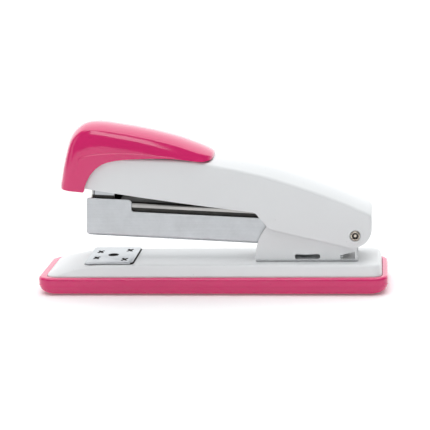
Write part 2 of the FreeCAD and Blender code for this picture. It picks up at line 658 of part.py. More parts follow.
def cap_ribs():
    """Two upright ribs between the lever's top and the cap's ceiling."""
    foot = [(x, f"flat_z + {FRONT_RISE} * (flat_x - ({x}))") for x in ("-50", "-12")]
    ribs = []
    for y in ("-rib_y", "rib_y"):
        body = doc.addObject("PartDesign::Body", "Rib")
        slab(body, "XZ", [*foot, *CAP_CEILING], f"{y} - rib_thick / 2", f"{y} + rib_thick / 2")
        ribs.append(body)
    sub_part(joined("CapRibs", ribs, "Part::Compound"), "cap_ribs")


# ---- driver ----------------------------------------------------------------------------------------------

def lean(height):
    """How far the blade stands back at a height, from its lower end."""
    return f"blade_lean * (({height}) - blade_low)"


def driver_blade():
    body = new_body("driver_blade", tilted=True)
    top = "driver_top"
    side = [("blade_front", "blade_low"), ("blade_front + blade_thick", "blade_low"),
            (f"blade_front + blade_thick + {lean(top)}", top), (f"blade_front + {lean(top)}", top)]
    slab(body, "XZ", side, "-blade_half", "blade_half")


def driver_bracket():
    """Steel U behind the blade, riveted under the lever's top."""
    body = new_body("driver_bracket", tilted=True)
    face = "blade_front + blade_thick"
    side = [(f"{face} + {lean('bracket_low')}", "bracket_low"), ("driver_back", "bracket_low"),
            ("driver_back", "driver_top"), (f"{face} + {lean('driver_top')}", "driver_top")]
    slab(body, "XZ", side, "-driver_half", "driver_half")
    inner = "driver_half - driver_steel"
    hollow = [(f"{face} + {lean('0')} + driver_steel", "0"), ("driver_back + 1", "0"),
              ("driver_back + 1", "driver_top - driver_steel"),
              (f"{face} + {lean('driver_top')} + driver_steel", "driver_top - driver_steel")]
    slab(body, "XZ", hollow, f"-({inner})", inner, "Pocket")
    for x in DRIVER_RIVETS:
        rod(body, "XY", x, "0", "driver_rivet_r", "driver_top - 3", "driver_top + 1", "Pocket")


def driver_rivets():
    """Two rivets through the bracket and the lever's top."""
    under = "driver_top - driver_steel"
    rivets = []
    for x in DRIVER_RIVETS:
        parts = [cylinder("Shank", "driver_rivet_r", under, "lever_top", x),
                 cylinder("Head", "driver_rivet_head_r", "lever_top", "lever_top + driver_rivet_head", x),
                 cylinder("Tail", "driver_rivet_head_r", f"{under} - driver_rivet_head", under, x)]
        rivets.append(joined("Rivet", parts))
    holder = joined("DriverRivets", rivets, "Part::Compound")
    tilt_about_pin(holder)
    sub_part(holder, "driver_rivets")


def leaf_spring():
    """Bent strip that holds the lever up off the inner frame."""
    body = new_body("leaf_spring", tilted=True)
    under = "driver_top - leaf_thick"
    side = [("driver_back + 0.1", under), ("-94", under), ("-84", "23.5", "-14"), ("-70", "11.6"),
            ("-63", "9", "12"), ("-60", "9.2"), ("-60", "9.2 + leaf_thick"), ("-62.9", "9 + leaf_thick"),
            ("-69.6", "12.1", "-11.4"), ("-83.6", "24"), ("-94", "driver_top", "14.6"),
            ("driver_back + 0.1", "driver_top")]
    slab(body, "XZ", side, "-leaf_half", "leaf_half")


def main():
    fill_sheet()
    pieces = (base_sole, foot_pads, base_plate, pivot_bracket, bracket_rivets, base_screws, pivot_pin,
              pin_washers, lift_spring, anvil_button, anvil_plate, anvil_stem, stem_clip, anvil_spring,
              magazine_channel, magazine_front, staple_core, follower_frame, guide_rod, rod_anchor, follower,
              follower_spring, handle_shell, handle_cap, cap_ribs, driver_blade, driver_bracket,
              driver_rivets, leaf_spring)
    for make in pieces:
        make()
    doc.recompute()
    for item in doc.Objects:
        if {"Invalid", "Error"} & set(item.State):
            raise RuntimeError(f"{item.Label} did not build: {item.State}")
    os.makedirs("parts", exist_ok=True)
    for item in sub_parts:
        if item.Shape.isNull() or not item.Shape.isValid():
            raise RuntimeError(f"{item.Label} is not a valid solid")
        item.Shape.exportStep(f"parts/{item.Label}.step")


main()
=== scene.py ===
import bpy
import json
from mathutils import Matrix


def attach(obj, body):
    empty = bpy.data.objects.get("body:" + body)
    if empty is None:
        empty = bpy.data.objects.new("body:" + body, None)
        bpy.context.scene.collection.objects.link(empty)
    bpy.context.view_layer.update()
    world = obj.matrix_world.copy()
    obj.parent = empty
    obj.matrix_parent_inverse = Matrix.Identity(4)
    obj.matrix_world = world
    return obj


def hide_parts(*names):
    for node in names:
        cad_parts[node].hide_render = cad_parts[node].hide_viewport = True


bl_info = {
    "name": "Desk stapler",
    "version": (1, 0, 0),
    "blender": (4, 5, 0),
    "location": "3D View > Sidebar > Stapler",
    "description": "Builds a desk stapler with a pressed lever, a moulded cap and a tray base",
    "category": "Add Mesh",
}

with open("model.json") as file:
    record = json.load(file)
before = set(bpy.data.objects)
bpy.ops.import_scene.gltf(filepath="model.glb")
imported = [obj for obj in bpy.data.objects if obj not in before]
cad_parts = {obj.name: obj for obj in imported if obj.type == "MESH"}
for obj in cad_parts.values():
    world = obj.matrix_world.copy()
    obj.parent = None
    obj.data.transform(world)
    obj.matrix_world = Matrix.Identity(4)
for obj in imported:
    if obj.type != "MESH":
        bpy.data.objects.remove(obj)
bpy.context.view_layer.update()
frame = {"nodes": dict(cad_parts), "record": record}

import json
import math

import bpy
from bpy.props import FloatProperty, FloatVectorProperty, PointerProperty
from mathutils import Matrix, Vector

MM = 0.001

# The pin that everything swings on, in millimetres, and the lean of the pieces drawn along the magazine.
PIN_X, PIN_Z = 62.1, 24.4
LEAN = math.radians(3.3)
TO_PIN = Matrix.Translation((PIN_X * MM, 0, PIN_Z * MM))
ALONG_MAGAZINE = TO_PIN @ Matrix.Rotation(LEAN, 4, "Y")
TO_FAR_SIDE = Matrix.Scale(-1, 4, (0, 1, 0))

# The anvil's middle, the two screws under the bracket, and the guide rod's height over the pin, in millimetres.
ANVIL_X = -44.85
SCREW_PLACES = (24, 58)
ROD_Z = 4.6


# ---- sizes and colours that a user would change ------------------------------------------------------------

def length(name, description, default):
    return FloatProperty(name=name, description=description, default=default * MM, min=0, unit="LENGTH")


def colour(name, description, default):
    return FloatVectorProperty(name=name, description=description, default=default, size=3, min=0, max=1,
                               subtype="COLOR")


def factor(name, description, default):
    return FloatProperty(name=name, description=description, default=default, min=0, max=1, subtype="FACTOR")


def tilt(name, description, default):
    return FloatProperty(name=name, description=description, default=math.radians(default), subtype="ANGLE")


class STAPLER_PG_base(bpy.types.PropertyGroup):
    tray_half_long: length("Tray half length", "From the middle of the tray to its end", 76)
    tray_half_wide: length("Tray half width", "From the middle of the tray to its side", 19)
    tray_end_round: length("End rounding", "Radius under the tray's two ends", 4)
    tray_side_round: length("Side rounding", "Radius along the tray's lower sides", 1.6)
    cover_steel: length("Cover steel", "Thickness of the pressed cover", 1)
    bracket_steel: length("Bracket steel", "Thickness of the bracket's sheet", 1.2)
    lift_wire: length("Lift spring wire", "Radius of the lift spring's wire", 0.6)


class STAPLER_PG_lever(bpy.types.PropertyGroup):
    half_wide: length("Half width", "From the middle of the lever to its side", 11.2)
    steel: length("Steel", "Thickness of the lever's sheet", 0.8)
    crease: length("Crease radius", "Rounding between the lever's side and top", 1.8)
    crown: length("Crown", "How far the top's middle stands above its creases under the cap", 1.3)
    rear_crown: length("Rear crown", "The same behind the cap", 2.7)
    cap_wall: length("Cap wall", "Thickness of the moulded cap", 1.2)
    cap_ledge: length("Cap ledge", "How far the cap's skirt stands out below its side", 0.26)


class STAPLER_PG_magazine(bpy.types.PropertyGroup):
    half_wide: length("Half width", "From the middle of the channel to its side", 7.4)
    steel: length("Steel", "Thickness of the channel's sheet", 0.8)
    bend: length("Bend radius", "Outer radius of the channel's lower bends", 1.8)
    edge: length("Edge", "Width of the light bevel on sheared edges", 0.28)


class STAPLER_PG_finish(bpy.types.PropertyGroup):
    plastic: colour("Plastic", "Colour of the moulded tray and cap", (0.70, 0.024, 0.155))
    plastic_rough: factor("Plastic roughness", "Roughness of the moulded tray and cap", 0.16)
    paint: colour("Paint", "Colour of the painted steel", (0.80, 0.815, 0.825))
    paint_rough: factor("Paint roughness", "Roughness of the painted steel", 0.32)
    zinc: colour("Zinc", "Colour of the plated sheet", (0.60, 0.62, 0.64))
    grey: colour("Bare steel", "Colour of the inner sheet parts", (0.50, 0.49, 0.48))
    spring: colour("Spring steel", "Colour of the springs and blade", (0.62, 0.61, 0.57))
    nickel: colour("Nickel", "Colour of the pin and guide rod", (0.66, 0.60, 0.52))
    # Painted shade: this dark colour stands for the shade inside the lever, the channel and the inner frame.
    inside: colour("Inside", "Colour of the unpainted steel inside the lever and the channel", (0.10, 0.095, 0.09))
    rubber: colour("Rubber", "Colour of the feet", (0.035, 0.035, 0.037))
    # Painted shade: a near black for the holes, pits, gaps and edges where the light does not reach.
    shade_black: colour("Shade black", "Colour of holes, pits and sheared edges", (0.035, 0.033, 0.03))


class STAPLER_PG_stage(bpy.types.PropertyGroup):
    distance: FloatProperty(name="Distance", description="From the camera to the point it looks at",
                            default=0.6328, unit="LENGTH")
    azimuth: tilt("Azimuth", "Turn of the camera towards the rear of the stapler", 6.771)
    elevation: tilt("Elevation", "Height of the camera above the floor, as an angle", 13.752)
    roll: tilt("Roll", "Turn of the camera about its own axis", -1.948)
    lens: FloatProperty(name="Lens", description="Focal length in millimetres on a 36 mm sensor", default=121.25)


# ---- ways of shaping a piece -------------------------------------------------------------------------------

def pick(*items):
    """Leaves only these objects selected, the first of them active."""
    bpy.ops.object.select_all(action="DESELECT")
    for item in items:
        item.select_set(True)
    if items:
        bpy.context.view_layer.objects.active = items[0]


def work_on(piece, *steps):
    """Runs mesh operators in edit mode on all of a piece, given as (operator, settings) pairs."""
    pick(piece)
    bpy.ops.object.mode_set(mode="EDIT")
    bpy.ops.mesh.select_all(action="SELECT")
    for operator, settings in steps:
        operator(**settings)
    bpy.ops.object.mode_set(mode="OBJECT")


def with_modifier(piece, kind, **settings):
    """Adds a modifier and applies it."""
    pick(piece)
    modifier = piece.modifiers.new(kind.title(), kind)
    for key, value in settings.items():
        setattr(modifier, key, value)
    bpy.ops.object.modifier_apply(modifier=modifier.name)
    return piece


def named(piece, name):
    piece.name = piece.data.name = name
    return piece


def smoothed(piece, angle=30):
    pick(piece)
    bpy.ops.object.shade_smooth_by_angle(angle=math.radians(angle))
    return piece


def softened(piece, width, segments=2, angle=40):
    """Breaks the sharp edges with a small bevel whose normals follow the larger faces."""
    with_modifier(piece, "BEVEL", width=width, segments=segments, limit_method="ANGLE",
                  angle_limit=math.radians(angle), use_clamp_overlap=True, miter_outer="MITER_ARC")
    smoothed(piece, 35)
    return with_modifier(piece, "WEIGHTED_NORMAL", keep_sharp=True, weight=60)


def carved(piece, cutter, way="DIFFERENCE"):
    """Cuts a piece with another, or keeps what they share. The cut faces take the cutter's finish."""
    mode = "TRANSFER" if cutter.data.materials else "INDEX"
    with_modifier(piece, "BOOLEAN", operation=way, object=cutter, solver="EXACT", material_mode=mode)
    bpy.data.objects.remove(cutter)
    return piece


def gathered(name, items):
    """Several shapes as one piece."""
    pick(*items)
    if len(items) > 1:
        bpy.ops.object.join()
    return named(bpy.context.view_layer.objects.active, name)


def copied(piece, matrix):
    """A copy with its own mesh, placed by a matrix."""
    pick(piece)
    bpy.ops.object.duplicate(linked=False)
    twin = bpy.context.view_layer.objects.active
    twin.data.transform(matrix)
    if matrix.determinant() < 0:
        twin.data.flip_normals()
    return twin


def closed_up(piece):
    """Merges doubled corners, fills the open ends and turns the faces outward."""
    for operator, settings in ((bpy.ops.mesh.remove_doubles, {"threshold": 1e-6}),
                               (bpy.ops.mesh.fill_holes, {"sides": 0}),
                               (bpy.ops.mesh.normals_make_consistent, {"inside": False})):
        work_on(piece, (operator, settings))
    return piece


def lofted(name, rings):
    """A closed skin over rings of points in millimetres, from a grid whose corners are set on them."""
    across = len(rings[0]) + 1
    pick()
    bpy.ops.mesh.primitive_grid_add(x_subdivisions=across - 1, y_subdivisions=len(rings) - 1, size=MM)
    piece = named(bpy.context.active_object, name)
    if len(piece.data.vertices) != across * len(rings):
        raise RuntimeError(f"{name}: the grid has {len(piece.data.vertices)} corners")
    for index, corner in enumerate(piece.data.vertices):
        row, column = divmod(index, across)
        corner.co = Vector(rings[row][column % (across - 1)]) * MM
    return closed_up(piece)


def along(plane, across, up, level):
    return {"XZ": (across, level, up), "XY": (across, up, level), "YZ": (level, across, up)}[plane]


def solid(name, points, plane, low, high):
    """A flat outline in millimetres, pulled out from one level to another."""
    pick()
    bpy.ops.mesh.primitive_circle_add(vertices=len(points), radius=MM, fill_type="NGON")
    piece = named(bpy.context.active_object, name)
    for corner, (across, up) in zip(piece.data.vertices, points):
        corner.co = Vector(along(plane, across, up, low)) * MM
    pull = Vector(along(plane, 0, 0, high - low)) * MM
    work_on(piece, (bpy.ops.mesh.extrude_region_move, {"TRANSFORM_OT_translate": {"value": pull}}))
    work_on(piece, (bpy.ops.mesh.normals_make_consistent, {"inside": False}))
    return piece


def turned(name, centre, axis, profile, count=48):
    """A turned piece: radius and height pairs carried round an upright axis or one across the stapler."""
    rings = []
    for radius, height in profile:
        ring = []
        for step in range(count):
            angle = 2 * math.pi * step / count
            side, up = radius * math.cos(angle), radius * math.sin(angle)
            offset = (side, up, height) if axis == "Z" else (side, height, up)
            ring.append(tuple(a + b for a, b in zip(centre, offset)))
        rings.append(ring)
    return lofted(name, rings)


def disc(name, centre, axis, radius, low, high, count=48):
    return turned(name, centre, axis, [(radius, low), (radius, high)], count)


def walked(steps, closed=True, arc_step=6):
    """Points along steps of (across, up) or (across, up, radius of the arc that leads there). The arc's
    centre is on the left of the way for a positive radius."""
    points = []
    for index, step in enumerate(steps):
        start, end = Vector(steps[index - 1][:2]), Vector(step[:2])
        if len(step) > 2 and (index or closed):
            radius = step[2]
            chord = end - start
            left = Vector((-chord.y, chord.x)).normalized()
            reach = math.sqrt(radius ** 2 - (chord.length / 2) ** 2)
            centre = (start + end) / 2 + left * math.copysign(reach, radius)
            first = math.atan2(*reversed(start - centre))
            sweep = 2 * math.asin(chord.length / 2 / abs(radius)) * math.copysign(1, radius)
            count = max(2, round(abs(math.degrees(sweep)) / arc_step), round(chord.length / 4))
            for part in range(1, count):
                angle = first + sweep * part / count
                points.append((centre.x + abs(radius) * math.cos(angle),
                               centre.y + abs(radius) * math.sin(angle)))
        points.append(tuple(end))
    return points


def box_steps(left, low, right, high):
    return [(left, low), (right, low), (right, high), (left, high)]


def round_box_steps(left, low, right, high, corner):
    return [(left + corner, low, corner), (right - corner, low), (right, low + corner, corner),
            (right, high - corner), (right - corner, high, corner), (left + corner, high),
            (left, high - corner, corner), (left, low + corner)]


def round_box_ring(front, back, half, nose, tail, level, count=10):
    """Points round a rectangle whose front corners have the nose radius and rear corners the tail radius."""
    points = []
    for x, y, radius, first in ((back - tail, half - tail, tail, 0), (front + nose, half - nose, nose, 90),
                                (front + nose, nose - half, nose, 180), (back - tail, tail - half, tail, 270)):
        for step in range(count + 1):
            angle = math.radians(first + 90 * step / count)
            points.append((x + radius * math.cos(angle), y + radius * math.sin(angle), level))
    return points


def height_at(points, x):
    """Height of a line of points at a place along it."""
    for (x0, z0), (x1, z1) in zip(points, points[1:]):
        if min(x0, x1) <= x <= max(x0, x1) and x0 != x1:
            return z0 + (z1 - z0) * (x - x0) / (x1 - x0)
    return min(points, key=lambda point: abs(point[0] - x))[1]


def smooth_step(value, start, end):
    """0 before the start and 1 after the end, eased between them."""
    part = min(max((value - start) / (end - start), 0), 1)
    return part ** 2 * (3 - 2 * part)


def eased(rows, parts):
    """Rows of numbers filled in with a smooth curve through them, with so many parts between two rows."""
    filled = []
    for index in range(len(rows) - 1):
        before, start = rows[max(index - 1, 0)], rows[index]
        end, after = rows[index + 1], rows[min(index + 2, len(rows) - 1)]
        for part in range(parts):
            t = part / parts
            filled.append([0.5 * (2 * b + (c - a) * t + (2 * a - 5 * b + 4 * c - d) * t ** 2
                                  + (3 * b - a - 3 * c + d) * t ** 3)
                           for a, b, c, d in zip(before, start, end, after)])
    return filled + [list(rows[-1])]


def from_node(name, node, width):
    """A merged copy of a plain piece, with its sharp edges broken."""
    pick(frame["nodes"][node])
    bpy.ops.object.duplicate(linked=False)
    piece = named(bpy.context.view_layer.objects.active, name)
    for key in list(piece.keys()):
        del piece[key]
    piece.parent = None
    pick(piece)
    if piece.data.has_custom_normals:
        bpy.ops.mesh.customdata_custom_splitnormals_clear()
    work_on(piece, (bpy.ops.mesh.remove_doubles, {"threshold": 2e-6}))
    work_on(piece, (bpy.ops.mesh.dissolve_limited, {"angle_limit": math.radians(1)}))
    return softened(piece, width * MM)


# ---- finishes ----------------------------------------------------------------------------------------------

def add_node(tree, kind, **settings):
    node = tree.nodes.new(kind)
    for key, value in settings.items():
        setattr(node, key, value)
    return node


def new_group(name, inputs, outputs):
    """An empty node group with its sockets, as (tree, its input node, its output node)."""
    tree = bpy.data.node_groups.new(name, "ShaderNodeTree")
    for label, kind, default in inputs:
        socket = tree.interface.new_socket(label, in_out="INPUT", socket_type=kind)
        if default is not None:
            socket.default_value = default
    for label, kind in outputs:
        tree.interface.new_socket(label, in_out="OUTPUT", socket_type=kind)
    return tree, tree.nodes.new("NodeGroupInput"), tree.nodes.new("NodeGroupOutput")


def noise(tree, vector, scale, detail=2.0, rough=0.5):
    node = add_node(tree, "ShaderNodeTexNoise")
    tree.links.new(vector, node.inputs["Vector"])
    if isinstance(scale, (int, float)):
        node.inputs["Scale"].default_value = scale
    else:
        tree.links.new(scale, node.inputs["Scale"])
    node.inputs["Detail"].default_value = detail
    node.inputs["Roughness"].default_value = rough
    return node.outputs["Fac"]


def ranged(tree, value, low, high, new_low, new_high):
    node = add_node(tree, "ShaderNodeMapRange")
    tree.links.new(value, node.inputs["Value"])
    for key, number in (("From Min", low), ("From Max", high), ("To Min", new_low), ("To Max", new_high)):
        node.inputs[key].default_value = number
    return node.outputs["Result"]


def summed(tree, first, second, weight):
    """first + second * weight"""
    node = add_node(tree, "ShaderNodeMath", operation="MULTIPLY_ADD")
    tree.links.new(second, node.inputs[0])
    node.inputs[1].default_value = weight
    tree.links.new(first, node.inputs[2])
    return node.outputs[0]


def build_surface_group():
    """Slow colour drift, fine grain and a few dust specks over any surface."""
    tree, start, end = new_group("Surface grain",
                                 [("Vector", "NodeSocketVector", None), ("Drift Scale", "NodeSocketFloat", 40.0),
                                  ("Grain Scale", "NodeSocketFloat", 900.0),
                                  ("Speck Scale", "NodeSocketFloat", 900.0)],
                                 [("Drift", "NodeSocketFloat"), ("Grain", "NodeSocketFloat"),
                                  ("Specks", "NodeSocketFloat")])
    drift = noise(tree, start.outputs["Vector"], start.outputs["Drift Scale"], 3)
    grain = noise(tree, start.outputs["Vector"], start.outputs["Grain Scale"], 2, 0.6)
    speck = noise(tree, start.outputs["Vector"], start.outputs["Speck Scale"], 1, 0.4)
    tree.links.new(drift, end.inputs["Drift"])
    tree.links.new(grain, end.inputs["Grain"])
    tree.links.new(ranged(tree, speck, 0.795, 0.83, 0, 1), end.inputs["Specks"])
    return tree


def build_brushed_group():
    """Rolling and polishing lines along a sheet, with broad blotches from plating."""
    tree, start, end = new_group("Rolled steel",
                                 [("Vector", "NodeSocketVector", None), ("Line Scale", "NodeSocketFloat", 60.0)],
                                 [("Lines", "NodeSocketFloat"), ("Blotches", "NodeSocketFloat"),
                                  ("Pores", "NodeSocketFloat")])
    stretch = add_node(tree, "ShaderNodeMapping")
    tree.links.new(start.outputs["Vector"], stretch.inputs["Vector"])
    stretch.inputs["Scale"].default_value = (0.6, 28, 28)
    lines = noise(tree, stretch.outputs["Vector"], start.outputs["Line Scale"], 4, 0.65)
    blotches = noise(tree, start.outputs["Vector"], 160.0, 3, 0.6)
    pores = noise(tree, start.outputs["Vector"], 1300.0, 2, 0.6)
    for label, value in (("Lines", lines), ("Blotches", blotches), ("Pores", pores)):
        tree.links.new(value, end.inputs[label])
    return tree


def new_material(name, rough, metallic=0.0):
    """A material with its shader, as (material, tree, shader, the object's own coordinates)."""
    material = bpy.data.materials.new(name)
    material.use_nodes = True
    tree = material.node_tree
    shader = tree.nodes["Principled BSDF"]
    shader.inputs["Roughness"].default_value = rough
    shader.inputs["Metallic"].default_value = metallic
    return material, tree, shader, add_node(tree, "ShaderNodeTexCoord").outputs["Object"]


def use_group(tree, group, vector, **values):
    node = add_node(tree, "ShaderNodeGroup", node_tree=group)
    tree.links.new(vector, node.inputs["Vector"])
    for key, value in values.items():
        node.inputs[key.replace("_", " ")].default_value = value
    return node.outputs


def shaded(tree, amount, dark, light):
    """A colour between two, chosen by a value."""
    node = add_node(tree, "ShaderNodeMix", data_type="RGBA")
    tree.links.new(amount, node.inputs["Factor"])
    node.inputs["A"].default_value = (*dark, 1)
    node.inputs["B"].default_value = (*light, 1)
    return node.outputs["Result"]


def over(tree, amount, under, top):
    """A colour laid over another by a mask."""
    node = add_node(tree, "ShaderNodeMix", data_type="RGBA")
    tree.links.new(amount, node.inputs["Factor"])
    tree.links.new(under, node.inputs["A"])
    node.inputs["B"].default_value = (*top, 1)
    return node.outputs["Result"]


def scaled(tint, amount):
    return tuple(min(1.0, channel * amount) for channel in tint)


def set_bump(tree, shader, height, strength, distance):
    bump = add_node(tree, "ShaderNodeBump")
    tree.links.new(height, bump.inputs["Height"])
    bump.inputs["Strength"].default_value = strength
    bump.inputs["Distance"].default_value = distance * MM
    tree.links.new(bump.outputs["Normal"], shader.inputs["Normal"])


def grained(name, tint, rough, surface, scales, shades, rough_span, specks=None, bump=None, metallic=0.0):
    """Plastic, paint, rubber or a painted shade black: a tint that drifts between two shades, and a grain in its
    shine.
    """
    material, tree, shader, place = new_material(name, rough, metallic)
    values = use_group(tree, surface, place, Drift_Scale=scales[0], Grain_Scale=scales[1])
    base = shaded(tree, values["Drift"], scaled(tint, shades[0]), scaled(tint, shades[1]))
    if specks:
        base = over(tree, values["Specks"], base, scaled(tint, specks))
    tree.links.new(base, shader.inputs["Base Color"])
    tree.links.new(ranged(tree, values["Grain"], 0.3, 0.7, *rough_span), shader.inputs["Roughness"])
    if bump:
        set_bump(tree, shader, values["Grain"], *bump)
    return material


def moulded_plastic(name, tint, rough, surface):
    material = grained(name, tint, rough, surface, (35.0, 1500.0), (0.96, 1.05), (rough - 0.03, rough + 0.05),
                       specks=0.8, bump=(0.10, 0.02))
    shader = material.node_tree.nodes["Principled BSDF"]
    shader.inputs["Coat Weight"].default_value = 1.0
    shader.inputs["Specular IOR Level"].default_value = 0.1
    shader.inputs["Coat Roughness"].default_value = 0.08
    return material


def powder_paint(name, tint, rough, surface):
    return grained(name, tint, rough, surface, (28.0, 1100.0), (0.985, 1.01), (rough - 0.04, rough + 0.06),
                   specks=0.72, bump=(0.22, 0.03))


def soft_rubber(name, tint, surface):
    return grained(name, tint, 0.8, surface, (90.0, 1600.0), (0.8, 1.5), (0.7, 0.9), bump=(0.5, 0.04))


# The near black of painted shade, for holes, pits, gaps and edges.
def painted_shade_steel(name, tint, surface):
    return grained(name, tint, 0.5, surface, (300.0, 1500.0), (0.6, 1.8), (0.42, 0.6), metallic=0.3)


def rolled_steel(name, tint, rough, brushed, scale=60.0, contrast=0.06, bump=0.12):
    material, tree, shader, place = new_material(name, rough, 1.0)
    sheet = use_group(tree, brushed, place, Line_Scale=scale)
    mixed = summed(tree, sheet["Blotches"], sheet["Lines"], 0.8)
    mixed = summed(tree, mixed, sheet["Pores"], 0.5)
    amount = ranged(tree, mixed, 0.75, 1.55, 0, 1)
    tree.links.new(shaded(tree, amount, scaled(tint, 1 - contrast), scaled(tint, 1 + contrast)),
                   shader.inputs["Base Color"])
    tree.links.new(ranged(tree, amount, 0, 1, rough + 0.07, rough - 0.05), shader.inputs["Roughness"])
    set_bump(tree, shader, mixed, bump, 0.01)
    return material


FINISHES = {}


def fit(piece, body, slot, *nodes, finish=None):
    """Gives a piece its finish, its body and the plain nodes that it stands for."""
    if not piece.data.materials:
        piece.data.materials.append(FINISHES[finish or slot])
    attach(piece, body)
    if nodes:
        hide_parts(*nodes)
    return piece


def painted(piece, *finishes):
    """Puts finishes in a piece's slots before its faces are shared out between them."""
    piece.data.materials.clear()
    for finish in finishes:
        piece.data.materials.append(FINISHES[finish])
    return piece


def refinished(piece, finish, wanted):
    """Gives the faces that the test picks another finish. The test gets a face's middle and its normal."""
    slots = piece.data.materials
    if FINISHES[finish] not in list(slots):
        slots.append(FINISHES[finish])
    index = list(slots).index(FINISHES[finish])
    for face in piece.data.polygons:
        if wanted(face.center / MM, face.normal):
            face.material_index = index
    return piece


# ---- outlines ----------------------------------------------------------------------------------------------

# Rings up the pressed cover: level, front, rear, half width, front and rear corner radius.
COVER_RINGS = [
    (4.6, -72.3, 73.35, 16.7, 5, 4), (7.9, -72.3, 73.35, 16.7, 5, 4), (8.25, -72.1, 73.33, 16.6, 5.2, 4),
    (8.6, -71.6, 73.3, 16.35, 5.5, 4), (9.4, -70, 73.2, 15.85, 6.5, 4), (10.4, -67.8, 73.05, 15.3, 9, 4),
    (11.2, -65.6, 72.85, 14.85, 11, 3.8), (11.8, -63.4, 72.6, 14.5, 12, 3.6), (12.2, -61.2, 72.2, 14.15, 12.6, 3.4),
    (12.4, -59.3, 71.7, 13.8, 12.6, 3.1), (12.48, -58, 71.2, 13.45, 12.4, 2.8), (12.5, -56.8, 70.7, 13.0, 12, 2.6),
]

LEVER_LOW = [(-54.5, 46), (17.6, 35.1, 1650), (20.9, 32.9, -3.6), (24, 29.3), (26.4, 27.3, 4), (60.6, 18.95),
             (69.2, 27.6, 8.7)]
LEVER_TOP = [(69.2, 34.3), (33, 48.9, 265), (-16.92, 58.44, 185), (-54.5, 60.45)]
LEVER_BACK = LEVER_TOP[0][0]
LEVER_TURN = 1.5

# Stations round the cap, from the tongue's tip to the nose's lower edge: the middle line's place, the rim's
# place, half widths at the crease and at the rim, the crown's drop, the corner's radius, how far down the
# side the ledge lies, how much of the ledge there is, and how far the side leans in at the crease.
CAP_STATIONS = [
    (1.8, 58.3, 1.8, 57.9, 0.01, 0.01, 0.01, 0.01, 0.95, 0, 0),
    (1.5, 59.1, 1.5, 57.7, 4.6, 5.4, 0.5, 0.3, 0.95, 0, 0.2),
    (0.6, 60.0, 0.6, 57.5, 7.6, 8.8, 0.9, 0.6, 0.95, 0, 0.3),
    (-1.7, 61.3, -1.7, 57.3, 9.8, 11.4, 1.3, 0.9, 0.95, 0, 0.4),
    (-4.5, 62.6, -4.5, 57.5, 10.6, 12.3, 1.5, 0.9, 0.95, 0, 0.5),
    (-8, 64.0, -8, 58.0, 10.9, 12.6, 1.6, 0.8, 0.94, 0.05, 0.55),
    (-13, 65.9, -13, 58.7, 11.0, 12.7, 1.7, 0.7, 0.91, 0.4, 0.57),
    (-19, 67.7, -19, 59.05, 11.0, 12.75, 1.8, 0.7, 0.88, 0.8, 0.57),
    (-26, 69.5, -26, 59.1, 11.0, 12.8, 1.8, 0.7, 0.82, 1, 0.57),
    (-33, 71.0, -33, 58.9, 11.0, 12.8, 1.8, 0.7, 0.785, 1, 0.57),
    (-40, 72.25, -38.5, 58.5, 11.0, 12.8, 1.8, 0.75, 0.77, 1, 0.55),
    (-46, 73.2, -42, 57.9, 11.0, 12.8, 1.8, 0.9, 0.755, 1, 0.52),
    (-50.6, 73.45, -44.8, 57.1, 11.0, 12.8, 1.8, 1.3, 0.7375, 1, 0.48),
    (-54.3, 72.85, -46.6, 56.1, 11.1, 12.8, 1.8, 2.0, 0.70, 1, 0.42),
    (-57.3, 71.15, -48.4, 54.9, 11.3, 12.8, 1.8, 3.0, 0.645, 1, 0.34),
    (-59.75, 68.6, -49.9, 53.3, 11.6, 12.8, 1.8, 4.2, 0.562, 1, 0.25),
    (-61.35, 65.6, -51.1, 51.8, 11.9, 12.75, 1.8, 5.2, 0.50, 0.9, 0.17),
    (-62.45, 62.2, -52.1, 50.2, 12.1, 12.7, 1.7, 5.8, 0.50, 0.5, 0.1),
    (-63.7, 58.0, -53.0, 48.4, 12.2, 12.7, 1.7, 6.0, 0.50, 0.1, 0.06),
    (-64.7, 54.0, -53.6, 47.0, 12.3, 12.65, 1.6, 6.0, 0.50, 0, 0.04),
    (-65.5, 50.2, -53.9, 45.8, 12.3, 12.65, 1.6, 6.0, 0.50, 0, 0.04),
    (-66.1, 47.6, -54.1, 45.0, 12.3, 12.6, 1.6, 6.0, 0.50, 0, 0.04),
    (-66.3, 45.7, -54.6, 44.5, 12.2, 12.5, 1.6, 6.0, 0.50, 0, 0.04),
]


def bowed(half, drop, radius, turn=math.pi / 2, crown_parts=9, corner_parts=8):
    """From the middle of a section to the top of its side, as (across, depth): a low crown that runs into a
    corner, rounded until it has turned so far."""
    lean = 0.0
    rim = half
    for _ in range(8):
        rim = half - radius + radius * math.sin(lean)
        lean = math.atan2(2 * drop, rim)
    points = [(rim * part / crown_parts, drop * (part / crown_parts) ** 2) for part in range(crown_parts)]
    for part in range(corner_parts + 1):
        angle = lean + (turn - lean) * part / corner_parts
        points.append((half - radius + radius * math.sin(angle),
                       drop + radius * (math.cos(lean) - math.cos(angle))))
    return points


def both_sides(half_section):
    """A section on both sides of the middle, from the near rim over the top to the far one."""
    return [(-across, depth) for across, depth in reversed(half_section)] + half_section[1:]


def cap_half(half, rim_half, drop, radius, depth, ledge_at, ledge, lean):
    """Half of the cap's section: the crown, the crease, a side that curves down to upright, and the skirt."""
    # the corner's arc stops where the side's own lean takes over
    top = bowed(half, drop, radius, math.pi / 2 - math.atan(lean))
    start_across, start = top[-1]
    reach = max(depth - start, 0.01)
    ledge_depth = max(ledge_at * depth, start + 0.3 * reach)
    span = max(ledge_depth - start, 0.01)
    gain = rim_half - start_across

    def side(at):
        """How wide the side is at a depth: it leaves the crease at its lean and ends upright."""
        part = min((at - start) / reach, 1)
        power = max(lean * reach / max(gain, 0.01), 1.0)
        return start_across + gain * (1 - (1 - part) ** power)

    upper = [(side(start + span * part / 9), start + span * part / 9) for part in range(1, 10)]
    across, down = upper[-1][0] + ledge, ledge_depth + 0.22 * min(reach, 1)
    skirt = [(across + (rim_half - across) * part / 5, down + (depth - down) * part / 5) for part in range(6)]
    return top + upper + skirt


